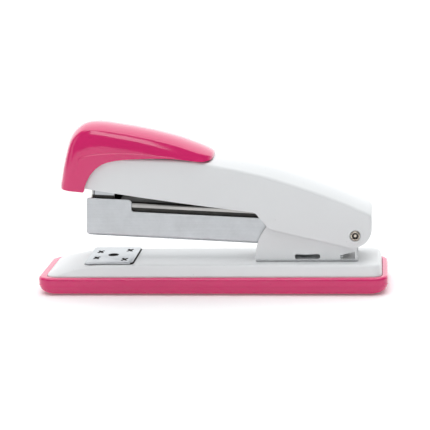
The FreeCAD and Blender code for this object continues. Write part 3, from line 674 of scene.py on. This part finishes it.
def cap_ring(station, wall, ledge_size):
    """One station of the cap: its outer skin from rim to rim, then its inner skin back."""
    top_x, top_z, rim_x, rim_z, half, rim_half, drop, radius, ledge_at, ledge, lean = station
    top, rim = Vector((top_x, top_z)), Vector((rim_x, rim_z))
    depth = max((rim - top).length, 0.02)
    way = (rim - top).normalized()
    thick = min(wall, 0.3 * depth, 0.3 * half)

    def placed(section, start, offset):
        return [(start.x + way.x * (at + offset), across, start.y + way.y * (at + offset))
                for across, at in section]

    outer = both_sides(cap_half(half, rim_half, drop, min(radius, 0.45 * half), depth, ledge_at,
                                ledge * ledge_size, lean))
    inner = both_sides(cap_half(half - thick, rim_half - thick, drop, min(max(radius - thick, 0.05), 0.45 * half),
                                depth - thick, ledge_at, 0, lean))
    return placed(outer, top, 0) + list(reversed(placed(inner, top, thick)))


def lever_section(x, half, top, drop, radius, low):
    """The lever's section at x as points from the near rim over the top to the far rim."""
    section = bowed(half, drop, radius)
    side_top = section[-1][1]
    for part in (0.25, 0.5, 0.75, 1):
        section.append((half, side_top + (top - low - side_top) * part))
    return [(x, across, top - depth) for across, depth in both_sides(section)]


def channel_section(half, low, high, steel, bend, down=False):
    """A U of bent sheet as (across, up) points; down turns its open side to the floor."""
    outer = walked([(-half, high), (-half, low + bend), (-half + bend, low, bend), (half - bend, low),
                    (half, low + bend, bend), (half, high)], closed=False, arc_step=12)
    inner = walked([(half - steel, high), (half - steel, low + bend), (half - bend, low + steel, -(bend - steel)),
                    (-half + bend, low + steel), (-half + steel, low + bend, -(bend - steel)),
                    (-half + steel, high)], closed=False, arc_step=12)
    points = outer + inner
    if down:
        return [(across, low + high - up) for across, up in reversed(points)]
    return points


def to_magazine(piece):
    piece.data.transform(ALONG_MAGAZINE)
    return piece


# ---- one operator for each piece or group of like pieces ---------------------------------------------------

class STAPLER_OT_finishes(bpy.types.Operator):
    """Build the finishes and give them to the plain inner parts"""
    bl_idname = "stapler.finishes"
    bl_label = "Finishes"

    def execute(self, context):
        tints = context.scene.stapler_finish
        surface, brushed = build_surface_group(), build_brushed_group()
        FINISHES.update({
            "pink_plastic": moulded_plastic("Moulded plastic", tints.plastic, tints.plastic_rough, surface),
            "white_paint": powder_paint("Powder paint", tints.paint, tints.paint_rough, surface),
            "zinc_steel": rolled_steel("Zinc plated sheet", tints.zinc, 0.42, brushed),
            "grey_steel": rolled_steel("Bare sheet", tints.grey, 0.36, brushed),
            "spring_steel": rolled_steel("Drawn spring wire", tints.spring, 0.26, brushed, 90.0, 0.12),
            "nickel": rolled_steel("Nickel plate", tints.nickel, 0.20, brushed, 90.0, 0.05, 0.05),
            # Painted shade for the faces inside the lever, the channel and the inner frame.
            "painted_shade_inside": rolled_steel("Painted shade inside", tints.inside, 0.5, brushed),
            "foot_rubber": soft_rubber("Foot rubber", tints.rubber, surface),
            # Painted shade black for holes, pits, gaps and edges.
            "shade_black": painted_shade_steel("Painted shade black", tints.shade_black, surface),
        })
        for part in frame["record"]["subparts"]:
            node = frame["nodes"][part["node"]]
            node.data.materials.clear()
            node.data.materials.append(FINISHES[part["material_slot"]])
        return {"FINISHED"}


class STAPLER_OT_tray(bpy.types.Operator):
    """Mould the tray with its well, rounded rim and parting line"""
    bl_idname = "stapler.tray"
    bl_label = "Tray"

    def execute(self, context):
        sizes = context.scene.stapler_base
        half_long, half_wide = sizes.tray_half_long / MM, sizes.tray_half_wide / MM
        end, side = sizes.tray_end_round / MM, sizes.tray_side_round / MM
        ridge = 0.05
        half_long, half_wide = half_long - ridge, half_wide - ridge
        under, top, rim = 0.6, 7.75, 1.1

        def tuck(rise, radius):
            return 0 if rise >= radius else radius - math.sqrt(radius ** 2 - (radius - rise) ** 2)

        rings = []
        for rise in (0, 0.08, 0.2, 0.4, 0.7, 1.1, 1.6, 2.2, 2.9, 3.35):
            x, y = tuck(rise, end), tuck(rise, side)
            rings.append(round_box_ring(x - half_long, half_long - x, half_wide - y, 6 - y, 6 - y, under + rise))
        for level, proud in ((4.05, 0), (4.12, ridge), (4.2, 0), (5, 0), (6, 0)):
            rings.append(round_box_ring(-half_long - proud, half_long + proud, half_wide + proud, 6, 6, level))
        for part in range(7):
            angle = math.radians(90 * part / 6)
            inset = rim * (1 - math.cos(angle))
            rings.append(round_box_ring(inset - half_long, half_long - inset, half_wide - inset, 6 - inset,
                                        6 - inset, top - rim + rim * math.sin(angle)))
        for inset, level in ((0.25, 7.75), (0.05, 7.6), (0, 7.3), (0, 2.6)):
            rings.append(round_box_ring(-72.42 - inset, 73.47 + inset, 16.82 + inset, 5 + inset, 4.1 + inset, level))
        tray = lofted("tray", rings)
        for x in SCREW_PLACES:
            carved(tray, disc("bore", (x, 0, 0), "Z", 3.3, 0, 2))
        carved(tray, disc("bore", (ANVIL_X, 0, 0), "Z", 6.3, 0, 4))
        for x in (-58, 58):
            for y in (-11.2, 11.2):
                seat = walked(round_box_steps(x - 9.1, y - 3.6, x + 9.1, y + 3.6, 2.1))
                carved(tray, solid("seat", seat, "XY", 0, 1.2))
        fit(smoothed(tray, 28), "base", "pink_plastic", "base_sole")
        return {"FINISHED"}


class STAPLER_OT_feet(bpy.types.Operator):
    """Make the four ribbed rubber feet"""
    bl_idname = "stapler.feet"
    bl_label = "Feet"

    def execute(self, context):
        first = solid("foot", walked(round_box_steps(-67, -14.7, -49, -7.7, 2)), "XY", 0, 1.2)
        for x in (-64, -61, -58, -55, -52):
            carved(first, solid("groove", box_steps(x - 0.35, -14, x + 0.35, -8.4), "XY", -1, 0.35))
        softened(first, 0.12 * MM)
        feet = [first]
        for x, y in ((116, 0), (0, 22.4), (116, 22.4)):
            feet.append(copied(first, Matrix.Translation((x * MM, y * MM, 0))))
        fit(gathered("feet", feet), "base", "foot_rubber", "foot_pads")
        return {"FINISHED"}


class STAPLER_OT_cover(bpy.types.Operator):
    """Press the white cover with its rounded shoulder and the anvil's seat"""
    bl_idname = "stapler.cover"
    bl_label = "Base cover"

    def execute(self, context):
        rings = [round_box_ring(front, back, half, nose, tail, level, 12)
                 for level, front, back, half, nose, tail in COVER_RINGS]
        cover = lofted("base_cover", rings)
        steel = context.scene.stapler_base.cover_steel / MM
        low = COVER_RINGS[0][0]
        inner = [round_box_ring(front + steel, back - steel, half - steel, nose, tail, max(level - steel, low) - 0.01,
                                12)
                 for level, front, back, half, nose, tail in COVER_RINGS if level - steel > low or level == low]
        inner[0] = [(x, y, low - 1) for x, y, _ in inner[0]]
        carved(cover, lofted("hollow", inner))
        # The seat round the anvil plate is cut with the painted shade black: a painted shadow that outlines the
        # plate.
        margin = 0.4
        seat = walked(round_box_steps(-55.4 - margin, -13 - margin, -34.3 + margin, 13 + margin, 1.6 + margin))
        painted(cover, "white_paint")
        carved(cover, painted(solid("seat", seat, "XY", 12.2, 14), "shade_black"))
        carved(cover, disc("bore", (ANVIL_X, 0, 0), "Z", 2.41, 10, 14))
        fit(smoothed(cover, 28), "base", "white_paint", "base_plate")
        return {"FINISHED"}


class STAPLER_OT_bracket(bpy.types.Operator):
    """Bend the pivot bracket and cut its window and notch"""
    bl_idname = "stapler.bracket"
    bl_label = "Pivot bracket"

    def execute(self, context):
        steel = context.scene.stapler_base.bracket_steel / MM
        bracket = solid("bracket", channel_section(9.5, 12.5, 32, steel, 1.7), "YZ", 15, 70)
        cheek = [(19.1, 12), (63, 12), (63, 18.6), (66.6, 24.4), (62.1, 28.9, 4.5), (30, 30), (24.2, 28.2),
                 (19.1, 15.3, 22)]
        carved(bracket, solid("cheek", walked(cheek), "XZ", -20, 20), "INTERSECT")
        window = walked(round_box_steps(36.1, 13.6, 47, 15.95, 0.9))
        carved(bracket, solid("window", window, "XZ", -20, 20))
        notch = [(55.6, 14.1), (56.1, 13.6), (61.9, 13.6), (61.9, 17.2), (55.6, 15.4)]
        carved(bracket, solid("notch", notch, "XZ", -20, 20))
        for x in SCREW_PLACES:
            carved(bracket, disc("bore", (x, 0, 0), "Z", 1.6, 10, 16, 24))
        fit(softened(bracket, 0.18 * MM), "base", "white_paint", "pivot_bracket")
        return {"FINISHED"}


class STAPLER_OT_fixings(bpy.types.Operator):
    """Make the bracket's rivets and the two screws under the tray"""
    bl_idname = "stapler.fixings"
    bl_label = "Rivets and screws"

    def execute(self, context):
        profile = [(0.01, 10.6), (2.2, 10.6), (2.6, 10.9), (2.6, 11.5), (1.5, 11.5), (1.5, 13.7), (2.6, 13.7),
                   (2.55, 13.95), (2.2, 14.3), (1.4, 14.55), (0.01, 14.6)]
        rivet = turned("rivet", (29.5, -5.5, 0), "Z", profile, 32)
        smoothed(rivet, 40)
        rivets = [rivet]
        for x, y in ((24.5, 0), (0, 11), (24.5, 11)):
            rivets.append(copied(rivet, Matrix.Translation((x * MM, y * MM, 0))))
        fit(gathered("bracket_rivet_set", rivets), "base", "zinc_steel", "bracket_rivets")
        profile = [(0.01, 0.75), (2.2, 0.75), (2.75, 0.95), (3, 1.4), (3, 2), (1.5, 2), (1.5, 13.4), (1.2, 13.7),
                   (0.01, 13.7)]
        screw = turned("screw", (24, 0, 0), "Z", profile, 40)
        for along_x in (True, False):
            wide, deep = (1.7, 0.3) if along_x else (0.3, 1.7)
            slot_steps = box_steps(24 - wide, -deep, 24 + wide, deep)
            carved(screw, solid("slot", slot_steps, "XY", 0, 1.4))
        smoothed(screw, 35)
        screws = [screw, copied(screw, Matrix.Translation((34 * MM, 0, 0)))]
        fit(gathered("tray_screws", screws), "base", "zinc_steel", "base_screws")
        return {"FINISHED"}


class STAPLER_OT_pin(bpy.types.Operator):
    """Turn the pin, crimp its two ends and add the washers on it"""
    bl_idname = "stapler.pin"
    bl_label = "Pin and washers"

    def execute(self, context):
        end = [(0.01, -11.5), (0.35, -11.46), (0.62, -11.2), (0.7, -10.7), (1.3, -10.7), (1.36, -11.1),
               (1.42, -11.55), (1.52, -11.68), (1.68, -11.7), (1.86, -11.62), (1.98, -11.48), (2.02, -11.3)]
        profile = end + [(radius, -height) for radius, height in reversed(end)]
        pin = turned("pin", (PIN_X, 0, PIN_Z), "Y", profile, 64)
        for step in range(3):
            notch = solid("notch", box_steps(-1.8, -0.2, 1.8, 0.2), "XZ", 10.9, 12)
            notch.data.transform(Matrix.Rotation(math.radians(60 * step + 30), 4, "Y"))
            notch.data.transform(TO_PIN)
            far = copied(notch, Matrix.Translation((0, -23.1 * MM, 0)))
            carved(pin, notch)
            carved(pin, far)
        painted(pin, "nickel")
        # The middle of each crimped end is painted shade black, for the shade in the crimp.
        refinished(pin, "shade_black", lambda middle, normal: 10.6 < abs(middle.y) < 11.2
                   and 0.6 < math.hypot(middle.x - PIN_X, middle.z - PIN_Z) < 1.4)
        fit(smoothed(pin, 40), "base", "nickel", "pivot_pin")
        washers = []
        for near, far in ((7.45, 8.3), (9.5, 10.35)):
            profile = [(2.12, near), (3.2, near), (3.4, near + 0.15), (3.4, far - 0.15), (3.2, far), (2.12, far),
                       (2.12, near)]
            ring = turned("washer", (PIN_X, 0, PIN_Z), "Y", profile)
            smoothed(ring, 35)
            washers += [ring, copied(ring, TO_FAR_SIDE)]
        fit(gathered("washers", washers), "base", "zinc_steel", "pin_washers")
        return {"FINISHED"}


class STAPLER_OT_springs(bpy.types.Operator):
    """Wind the lift spring in the bracket"""
    bl_idname = "stapler.springs"
    bl_label = "Lift spring"

    def execute(self, context):
        wire = context.scene.stapler_base.lift_wire
        pick()
        bpy.ops.mesh.primitive_circle_add(vertices=14, radius=wire, fill_type="NOTHING",
                                          rotation=(math.pi / 2, 0, 0))
        coil = named(bpy.context.active_object, "lift_coil")
        bpy.ops.object.transform_apply(location=True, rotation=True, scale=True)
        coil.data.transform(Matrix.Translation((7.2 * MM, 0, 0)))
        turns = 2.07
        with_modifier(coil, "SCREW", angle=turns * 2 * math.pi, screw_offset=3.1 * MM, steps=130,
                      render_steps=130, use_merge_vertices=False, axis="Z")
        closed_up(coil)
        coil.data.transform(Matrix.Translation((41.5 * MM, 0, 14.35 * MM)))
        fit(smoothed(coil, 50), "base", "spring_steel", "lift_spring", finish="zinc_steel")
        return {"FINISHED"}


class STAPLER_OT_anvil(bpy.types.Operator):
    """Make the turning anvil: its plate with four pits, its stem and its button"""
    bl_idname = "stapler.anvil"
    bl_label = "Anvil"

    def execute(self, context):
        x = ANVIL_X
        plate = solid("anvil_plate_top", walked(round_box_steps(x - 10.55, -13, x + 10.55, 13, 1.6)), "XY",
                      12.55, 13.3)
        painted(plate, "zinc_steel", "shade_black")
        # The four pits are real hollows; their faces, and the bore for the stem, get the black of painted shade.
        for centre, spread in ((x - 6.6, 5.1), (x + 6.2, 7.6)):
            for side in (-spread, spread):
                for turn in (-30, 30):
                    arm = solid("pit", walked(round_box_steps(-0.62, -2.3, 0.62, 2.3, 0.5)), "XY", 12.85, 14)
                    painted(arm, "shade_black")
                    arm.data.transform(Matrix.Rotation(math.radians(turn), 4, "Z"))
                    arm.data.transform(Matrix.Translation((centre * MM, side * MM, 0)))
                    carved(plate, arm)
        carved(plate, painted(disc("bore", (x, 0, 0), "Z", 2.36, 12, 14), "shade_black"))
        with_modifier(plate, "BEVEL", width=0.1 * MM, segments=2, limit_method="ANGLE", angle_limit=1.0)
        # The plate's rear edge faces are painted shade black, for the shade along that side.
        refinished(plate, "shade_black", lambda middle, normal: abs(normal.z) < 0.8 and middle.x - x > 9.5)
        fit(smoothed(plate, 35), "anvil", "zinc_steel", "anvil_plate")
        profile = [(0.01, 2.05), (2.2, 2.05), (2.35, 2.2), (2.35, 12.9), (2.3, 13.05), (2.1, 13.05), (1.9, 12.6),
                   (0.01, 12.6)]
        stem = turned("anvil_stem_top", (x, 0, 0), "Z", profile)
        # The stem is painted shade black all over, so that its sunk top shows as a dark hole.
        painted(stem, "shade_black")
        fit(smoothed(stem, 35), "anvil", "zinc_steel", "anvil_stem")
        profile = [(0.01, 0.9), (2.4, 0.9), (2.6, 0.8), (3.4, 0.8), (3.6, 1), (4.0, 1), (4.2, 0.8), (5, 0.8),
                   (5.6, 0.9), (6, 1.3), (6, 2.65), (7.2, 2.65), (7.2, 3.4), (3.8, 3.4), (3.8, 6.4), (3.7, 6.5),
                   (2.45, 6.5), (2.45, 2.02), (0.01, 2.02)]
        button = turned("button", (x, 0, 0), "Z", profile, 64)
        fit(smoothed(button, 35), "anvil_button", "zinc_steel", "anvil_button")
        return {"FINISHED"}


class STAPLER_OT_magazine(bpy.types.Operator):
    """Bend the magazine channel with its front block, front plate and staple rail"""
    bl_idname = "stapler.magazine"
    bl_label = "Magazine"

    def execute(self, context):
        sizes = context.scene.stapler_magazine
        half, steel, bend, edge = (size / MM for size in (sizes.half_wide, sizes.steel, sizes.bend, sizes.edge))
        channel = solid("channel", channel_section(half, -6.87, 14, steel, bend), "YZ", -116.8, 8)
        side = [(-115.4, -6.9), (-8, -6.9), (0, -4.5), (4.5, 0, 4.5), (0, 4.5, 4.5), (-6, 4.7), (-96, 4.7),
                (-97.2, 5.9, -1.2), (-97.2, 8.3), (-98.8, 9.9, 1.6), (-116.3, 9.9), (-116.9, 9.4),
                (-116.9, -5.47)]
        carved(channel, solid("side", walked(side), "XZ", -20, 20), "INTERSECT")
        carved(channel, solid("mouth", box_steps(-120, -6.55, -114.2, 6.55), "XY", -8, -5))
        carved(channel, solid("tail", box_steps(-9, -6.55, 10, 6.55), "XY", -8, -4.2))
        carved(channel, disc("bore", (0, 0, 0), "Y", 2.16, -20, 20))
        painted(channel, "zinc_steel")
        # Painted shade: the faces inside the channel take the dark inside finish.
        refinished(channel, "painted_shade_inside", lambda middle, normal: (
            abs(middle.y) < half - 0.5 * steel and (normal.y * middle.y < -0.3 * abs(middle.y)
                                                    or normal.z > 0.3 and middle.z < 0)))
        softened(to_magazine(channel), edge * MM)
        fit(channel, "magazine", "zinc_steel", "magazine_channel")
        for name, node, width in (("front_plate", "magazine_front", 0.15), ("staple_rail", "staple_core", 0.12)):
            fit(from_node(name, node, width), "magazine", "zinc_steel", node)
        return {"FINISHED"}


class STAPLER_OT_inner_frame(bpy.types.Operator):
    """Bend the inner frame and finish the follower and its guide"""
    bl_idname = "stapler.inner_frame"
    bl_label = "Inner frame"

    def execute(self, context):
        inner = solid("inner_frame", channel_section(6.3, -6, 8.75, 0.7, 1.2, down=True), "YZ", -103, 6)
        painted(inner, "grey_steel")
        # A shallow groove along each side, painted shade black: a painted shadow in the gap over the channel's lip.
        for low, high in ((-6.5, -6.18), (6.18, 6.5)):
            shadow_line = solid("line", box_steps(low, 0, high, 6.4), "YZ", -102.9, 7)
            carved(inner, painted(shadow_line, "shade_black"))
        side = [(-104, 0.8), (-14, 0.8), (0, -3.6), (3.6, 0, 3.6), (3.6, 5), (0.5, 8.8), (-104, 8.8)]
        carved(inner, solid("side", walked(side), "XZ", -20, 20), "INTERSECT")
        carved(inner, disc("bore", (0, 0, 0), "Y", 2.16, -20, 20))
        tab = solid("tab", box_steps(-5.7, 2, 5.7, 8.3), "YZ", -103, -102.3)
        carved(tab, to_rod_bore())
        fingers = [solid("finger", box_steps(-113, y, -102, y + 0.7), "XY", 0.8, 1.5) for y in (-6.3, 5.6)]
        for piece in (tab, *fingers):
            painted(piece, "grey_steel")
        frame_piece = gathered("inner_frame", [inner, tab, *fingers])
        # Painted shade: the frame's inner and upper faces take the dark inside finish.
        refinished(frame_piece, "painted_shade_inside", lambda middle, normal: (
            normal.z > 0.6 and middle.z > 8 or abs(middle.y) < 6 and normal.y * middle.y < 0))
        softened(to_magazine(frame_piece), 0.1 * MM)
        fit(frame_piece, "inner_frame", "grey_steel", "follower_frame")
        fit(from_node("anchor", "rod_anchor", 0.2), "inner_frame", "grey_steel", "rod_anchor")
        fit(from_node("pusher", "follower", 0.2), "follower", "grey_steel", "follower")
        return {"FINISHED"}


def to_rod_bore():
    """A cutter for the guide rod's hole, along the magazine."""
    points = [(1.25 * math.cos(math.pi * step / 12), ROD_Z + 1.25 * math.sin(math.pi * step / 12))
              for step in range(24)]
    return solid("bore", points, "YZ", -104, -101)


class STAPLER_OT_lever(bpy.types.Operator):
    """Press the white lever with its crowned top, creases and closed back"""
    bl_idname = "stapler.lever"
    bl_label = "Lever"

    def execute(self, context):
        sizes = context.scene.stapler_lever
        half, steel, crease, front_crown, rear_crown = (
            size / MM for size in (sizes.half_wide, sizes.steel, sizes.crease, sizes.crown, sizes.rear_crown))
        low_line, top_line = walked(LEVER_LOW, closed=False), walked(LEVER_TOP, closed=False)
        bend_start = LEVER_BACK - LEVER_TURN
        front = LEVER_TOP[-1][0]
        places = sorted({round(x, 3) for x, _ in low_line + top_line if x < bend_start - 0.2}
                        | {front + 3 * step for step in range(41)})

        def ring(x, inset, shrink, squeeze=1.0):
            """The lever's outer and inner sections at x, drawn in round the rear bend."""
            crown = front_crown + (rear_crown - front_crown) * smooth_step(x, -12, 30)
            top = height_at(top_line, min(x, LEVER_BACK)) + crown - 0.75 * smooth_step(x, -6, 6) - shrink
            low = height_at(low_line, min(x, LEVER_BACK))
            outer = lever_section(x, half - shrink, top, crown, crease, low)
            inner_shrink = max(shrink - steel, 0) if shrink else 0
            inner = lever_section(x - inset, half - steel - inner_shrink, top + shrink - steel - inner_shrink, crown,
                                  crease - steel, low)
            loop = outer + list(reversed(inner))
            return [(a, b * squeeze, c) for a, b, c in loop]

        rings = [ring(x, 0, 0) for x in places]
        for angle in (0, 15, 30, 45, 60, 75, 90):
            turn = math.radians(angle)
            rings.append(ring(bend_start + LEVER_TURN * math.sin(turn), steel * math.sin(turn),
                              LEVER_TURN * (1 - math.cos(turn))))
        for squeeze in (0.7, 0.35, 0):
            rings.append(ring(LEVER_BACK, steel, LEVER_TURN, squeeze))
        lever = painted(lofted("lever", rings), "white_paint")
        # Painted shade: the faces inside the lever take the dark inside finish, for the shade under the lever.
        refinished(lever, "painted_shade_inside", lambda middle, normal: (
            abs(middle.y) < half - 0.5 * steel and normal.y * middle.y < -0.3 * abs(middle.y)
            or normal.z < -0.3 and abs(middle.y) < half - 0.5 * steel
            and middle.z > height_at(low_line, middle.x) + 1
            or normal.x < -0.5 and middle.x > bend_start - 3 and abs(middle.y) < half - 0.5 * steel))
        carved(lever, disc("bore", (PIN_X, 0, PIN_Z), "Y", 2.35, -20, 20, 64))
        softened(lever, 0.16 * MM, 2, 60)
        profile = [(2.4, 11.0), (2.4, 11.35), (2.48, 11.43), (2.9, 11.43), (3.3, 11.3), (3.42, 11.19), (3.42, 11.0),
                   (2.4, 11.0)]
        ring_piece = turned("pin_ring", (PIN_X, 0, PIN_Z), "Y", profile, 64)
        smoothed(ring_piece, 40)
        twin = copied(ring_piece, TO_FAR_SIDE)
        for piece in (ring_piece, twin):
            painted(piece, "white_paint")
        lever = gathered("lever", [lever, ring_piece, twin])
        fit(lever, "handle", "white_paint", "handle_shell")
        return {"FINISHED"}


class STAPLER_OT_cap(bpy.types.Operator):
    """Mould the cap: domed tongue, blunt nose, crease and stepped skirt"""
    bl_idname = "stapler.cap"
    bl_label = "Cap"

    def execute(self, context):
        sizes = context.scene.stapler_lever
        rings = [cap_ring(station, sizes.cap_wall / MM, sizes.cap_ledge / MM)
                 for station in eased(CAP_STATIONS, 4)]
        cap = lofted("cap", rings)
        fit(smoothed(cap, 32), "handle", "pink_plastic", "handle_cap")
        fit(from_node("ribs", "cap_ribs", 0.2), "handle", "pink_plastic", "cap_ribs")
        return {"FINISHED"}


class STAPLER_OT_driver(bpy.types.Operator):
    """Finish the driver blade, its bracket, rivets and the leaf spring"""
    bl_idname = "stapler.driver"
    bl_label = "Driver"

    def execute(self, context):
        for name, node, slot, width in (("blade", "driver_blade", "spring_steel", 0.1),
                                        ("blade_holder", "driver_bracket", "zinc_steel", 0.15),
                                        ("blade_rivets", "driver_rivets", "zinc_steel", 0.2),
                                        ("leaf", "leaf_spring", "spring_steel", 0.1)):
            piece = from_node(name, node, width)
            if name == "blade_holder":
                painted(piece, slot)
                # Thin grooves on the holder's sides, painted shade black: painted shadow lines at the gaps beside it.
                for low, high in ((-6.4, -6.14), (6.14, 6.4)):
                    shadow_strip = solid("shadow_strip", box_steps(low, -10, high, 11.3), "YZ", -116, -90)
                    carved(piece, painted(to_magazine(shadow_strip), "shade_black"))
                    shadow_slit = solid("shadow_slit", box_steps(low, 0, high, 25), "YZ", -114.1, -113.6)
                    carved(piece, painted(to_magazine(shadow_slit), "shade_black"))
            fit(piece, "handle", slot, node)
        return {"FINISHED"}


# What the camera looks at and what the lamps aim at, in metres.
LOOKED_AT = Vector((0.001, 0, 0.0312))
LIT_POINT = Vector((0, 0, 0.04))


class STAPLER_OT_stage(bpy.types.Operator):
    """Set the floor, the soft studio light and the camera"""
    bl_idname = "stapler.stage"
    bl_label = "Stage"

    def execute(self, context):
        scene, view = context.scene, context.scene.stapler_stage
        scene.view_settings.view_transform = "Standard"
        pick()
        bpy.ops.mesh.primitive_plane_add(size=14)
        floor = named(bpy.context.active_object, "floor")
        material, tree, shader, place = new_material("Floor", 0.7)
        shader.inputs["Emission Color"].default_value = (1, 1, 1, 1)
        shader.inputs["Emission Strength"].default_value = 0.13
        drift = noise(tree, place, 3.0, 2)
        tree.links.new(shaded(tree, drift, (0.86, 0.86, 0.865), (0.88, 0.88, 0.88)), shader.inputs["Base Color"])
        floor.data.materials.append(material)
        self.light_sky(scene)
        for name, place, size, power in (("front softbox", (-0.2, -1.05, 0.86), (0.5, 0.33), 2.0),
                                         ("left softbox", (-1.5, -0.7, 0.45), (0.9, 0.8), 2.2)):
            bpy.ops.object.light_add(type="AREA", location=place)
            light = named(bpy.context.active_object, name)
            light.data.shape = "RECTANGLE"
            light.data.size, light.data.size_y = size
            light.data.energy = power
            aim = LIT_POINT - Vector(place)
            light.rotation_euler = aim.to_track_quat("-Z", "Y").to_euler()
        bpy.ops.object.camera_add()
        camera = named(bpy.context.active_object, "camera")
        camera.data.lens, camera.data.sensor_width = view.lens, 36
        camera.data.clip_start, camera.data.clip_end = 0.01, 50
        a, e, r = view.azimuth, view.elevation, view.roll
        back = Vector((math.sin(a) * math.cos(e), -math.cos(a) * math.cos(e), math.sin(e)))
        right = Vector((math.cos(a), math.sin(a), 0))
        up = back.cross(right)
        right, up = math.cos(r) * right + math.sin(r) * up, math.cos(r) * up - math.sin(r) * right
        spot = LOOKED_AT + back * view.distance
        camera.matrix_world = Matrix.Translation(spot) @ Matrix((right, up, back)).transposed().to_4x4()
        scene.camera = camera
        return {"FINISHED"}

    def light_sky(self, scene):
        """A studio room: bright overhead and behind the stapler, dim behind the camera."""
        world = bpy.data.worlds.new("Studio")
        scene.world = world
        world.use_nodes = True
        tree = world.node_tree
        split = add_node(tree, "ShaderNodeSeparateXYZ")
        tree.links.new(add_node(tree, "ShaderNodeTexCoord").outputs["Generated"], split.inputs[0])
        overhead = ranged(tree, split.outputs["Z"], 0.76, 0.92, 0.08, 2.9)
        backdrop = ranged(tree, split.outputs["Y"], 0.1, 0.6, 0, 1.35)
        brighter = add_node(tree, "ShaderNodeMath", operation="MAXIMUM")
        tree.links.new(overhead, brighter.inputs[0])
        tree.links.new(backdrop, brighter.inputs[1])
        tree.links.new(brighter.outputs[0], tree.nodes["Background"].inputs["Strength"])
        tree.nodes["Background"].inputs["Color"].default_value = (0.985, 0.995, 1, 1)


class STAPLER_PT_panel(bpy.types.Panel):
    """Lists the stapler's pieces and their sizes"""
    bl_idname = "STAPLER_PT_panel"
    bl_label = "Stapler"
    bl_space_type = "VIEW_3D"
    bl_region_type = "UI"
    bl_category = "Stapler"

    def draw(self, context):
        for label, group in PROPERTY_GROUPS.items():
            box = self.layout.box()
            box.label(text=label.title())
            for key in group.__annotations__:
                box.prop(getattr(context.scene, "stapler_" + label), key)
        for operator in OPERATORS:
            self.layout.operator(operator.bl_idname)


PROPERTY_GROUPS = {"base": STAPLER_PG_base, "lever": STAPLER_PG_lever, "magazine": STAPLER_PG_magazine,
                   "finish": STAPLER_PG_finish, "stage": STAPLER_PG_stage}
OPERATORS = (STAPLER_OT_finishes, STAPLER_OT_tray, STAPLER_OT_feet, STAPLER_OT_cover, STAPLER_OT_bracket,
             STAPLER_OT_fixings, STAPLER_OT_pin, STAPLER_OT_springs, STAPLER_OT_anvil, STAPLER_OT_magazine,
             STAPLER_OT_inner_frame, STAPLER_OT_lever, STAPLER_OT_cap, STAPLER_OT_driver, STAPLER_OT_stage)


def register():
    for label, group in PROPERTY_GROUPS.items():
        bpy.utils.register_class(group)
        setattr(bpy.types.Scene, "stapler_" + label, PointerProperty(type=group))
    for operator in OPERATORS:
        bpy.utils.register_class(operator)
    bpy.utils.register_class(STAPLER_PT_panel)


def unregister():
    bpy.utils.unregister_class(STAPLER_PT_panel)
    for operator in reversed(OPERATORS):
        bpy.utils.unregister_class(operator)
    for label, group in PROPERTY_GROUPS.items():
        delattr(bpy.types.Scene, "stapler_" + label)
        bpy.utils.unregister_class(group)


def main():
    register()
    for operator in OPERATORS:
        name = operator.bl_idname.split(".")[1]
        if getattr(bpy.ops.stapler, name)() != {"FINISHED"}:
            raise RuntimeError(f"{operator.bl_label} was not built")
    pick()


if __name__ == "__main__":
    main()
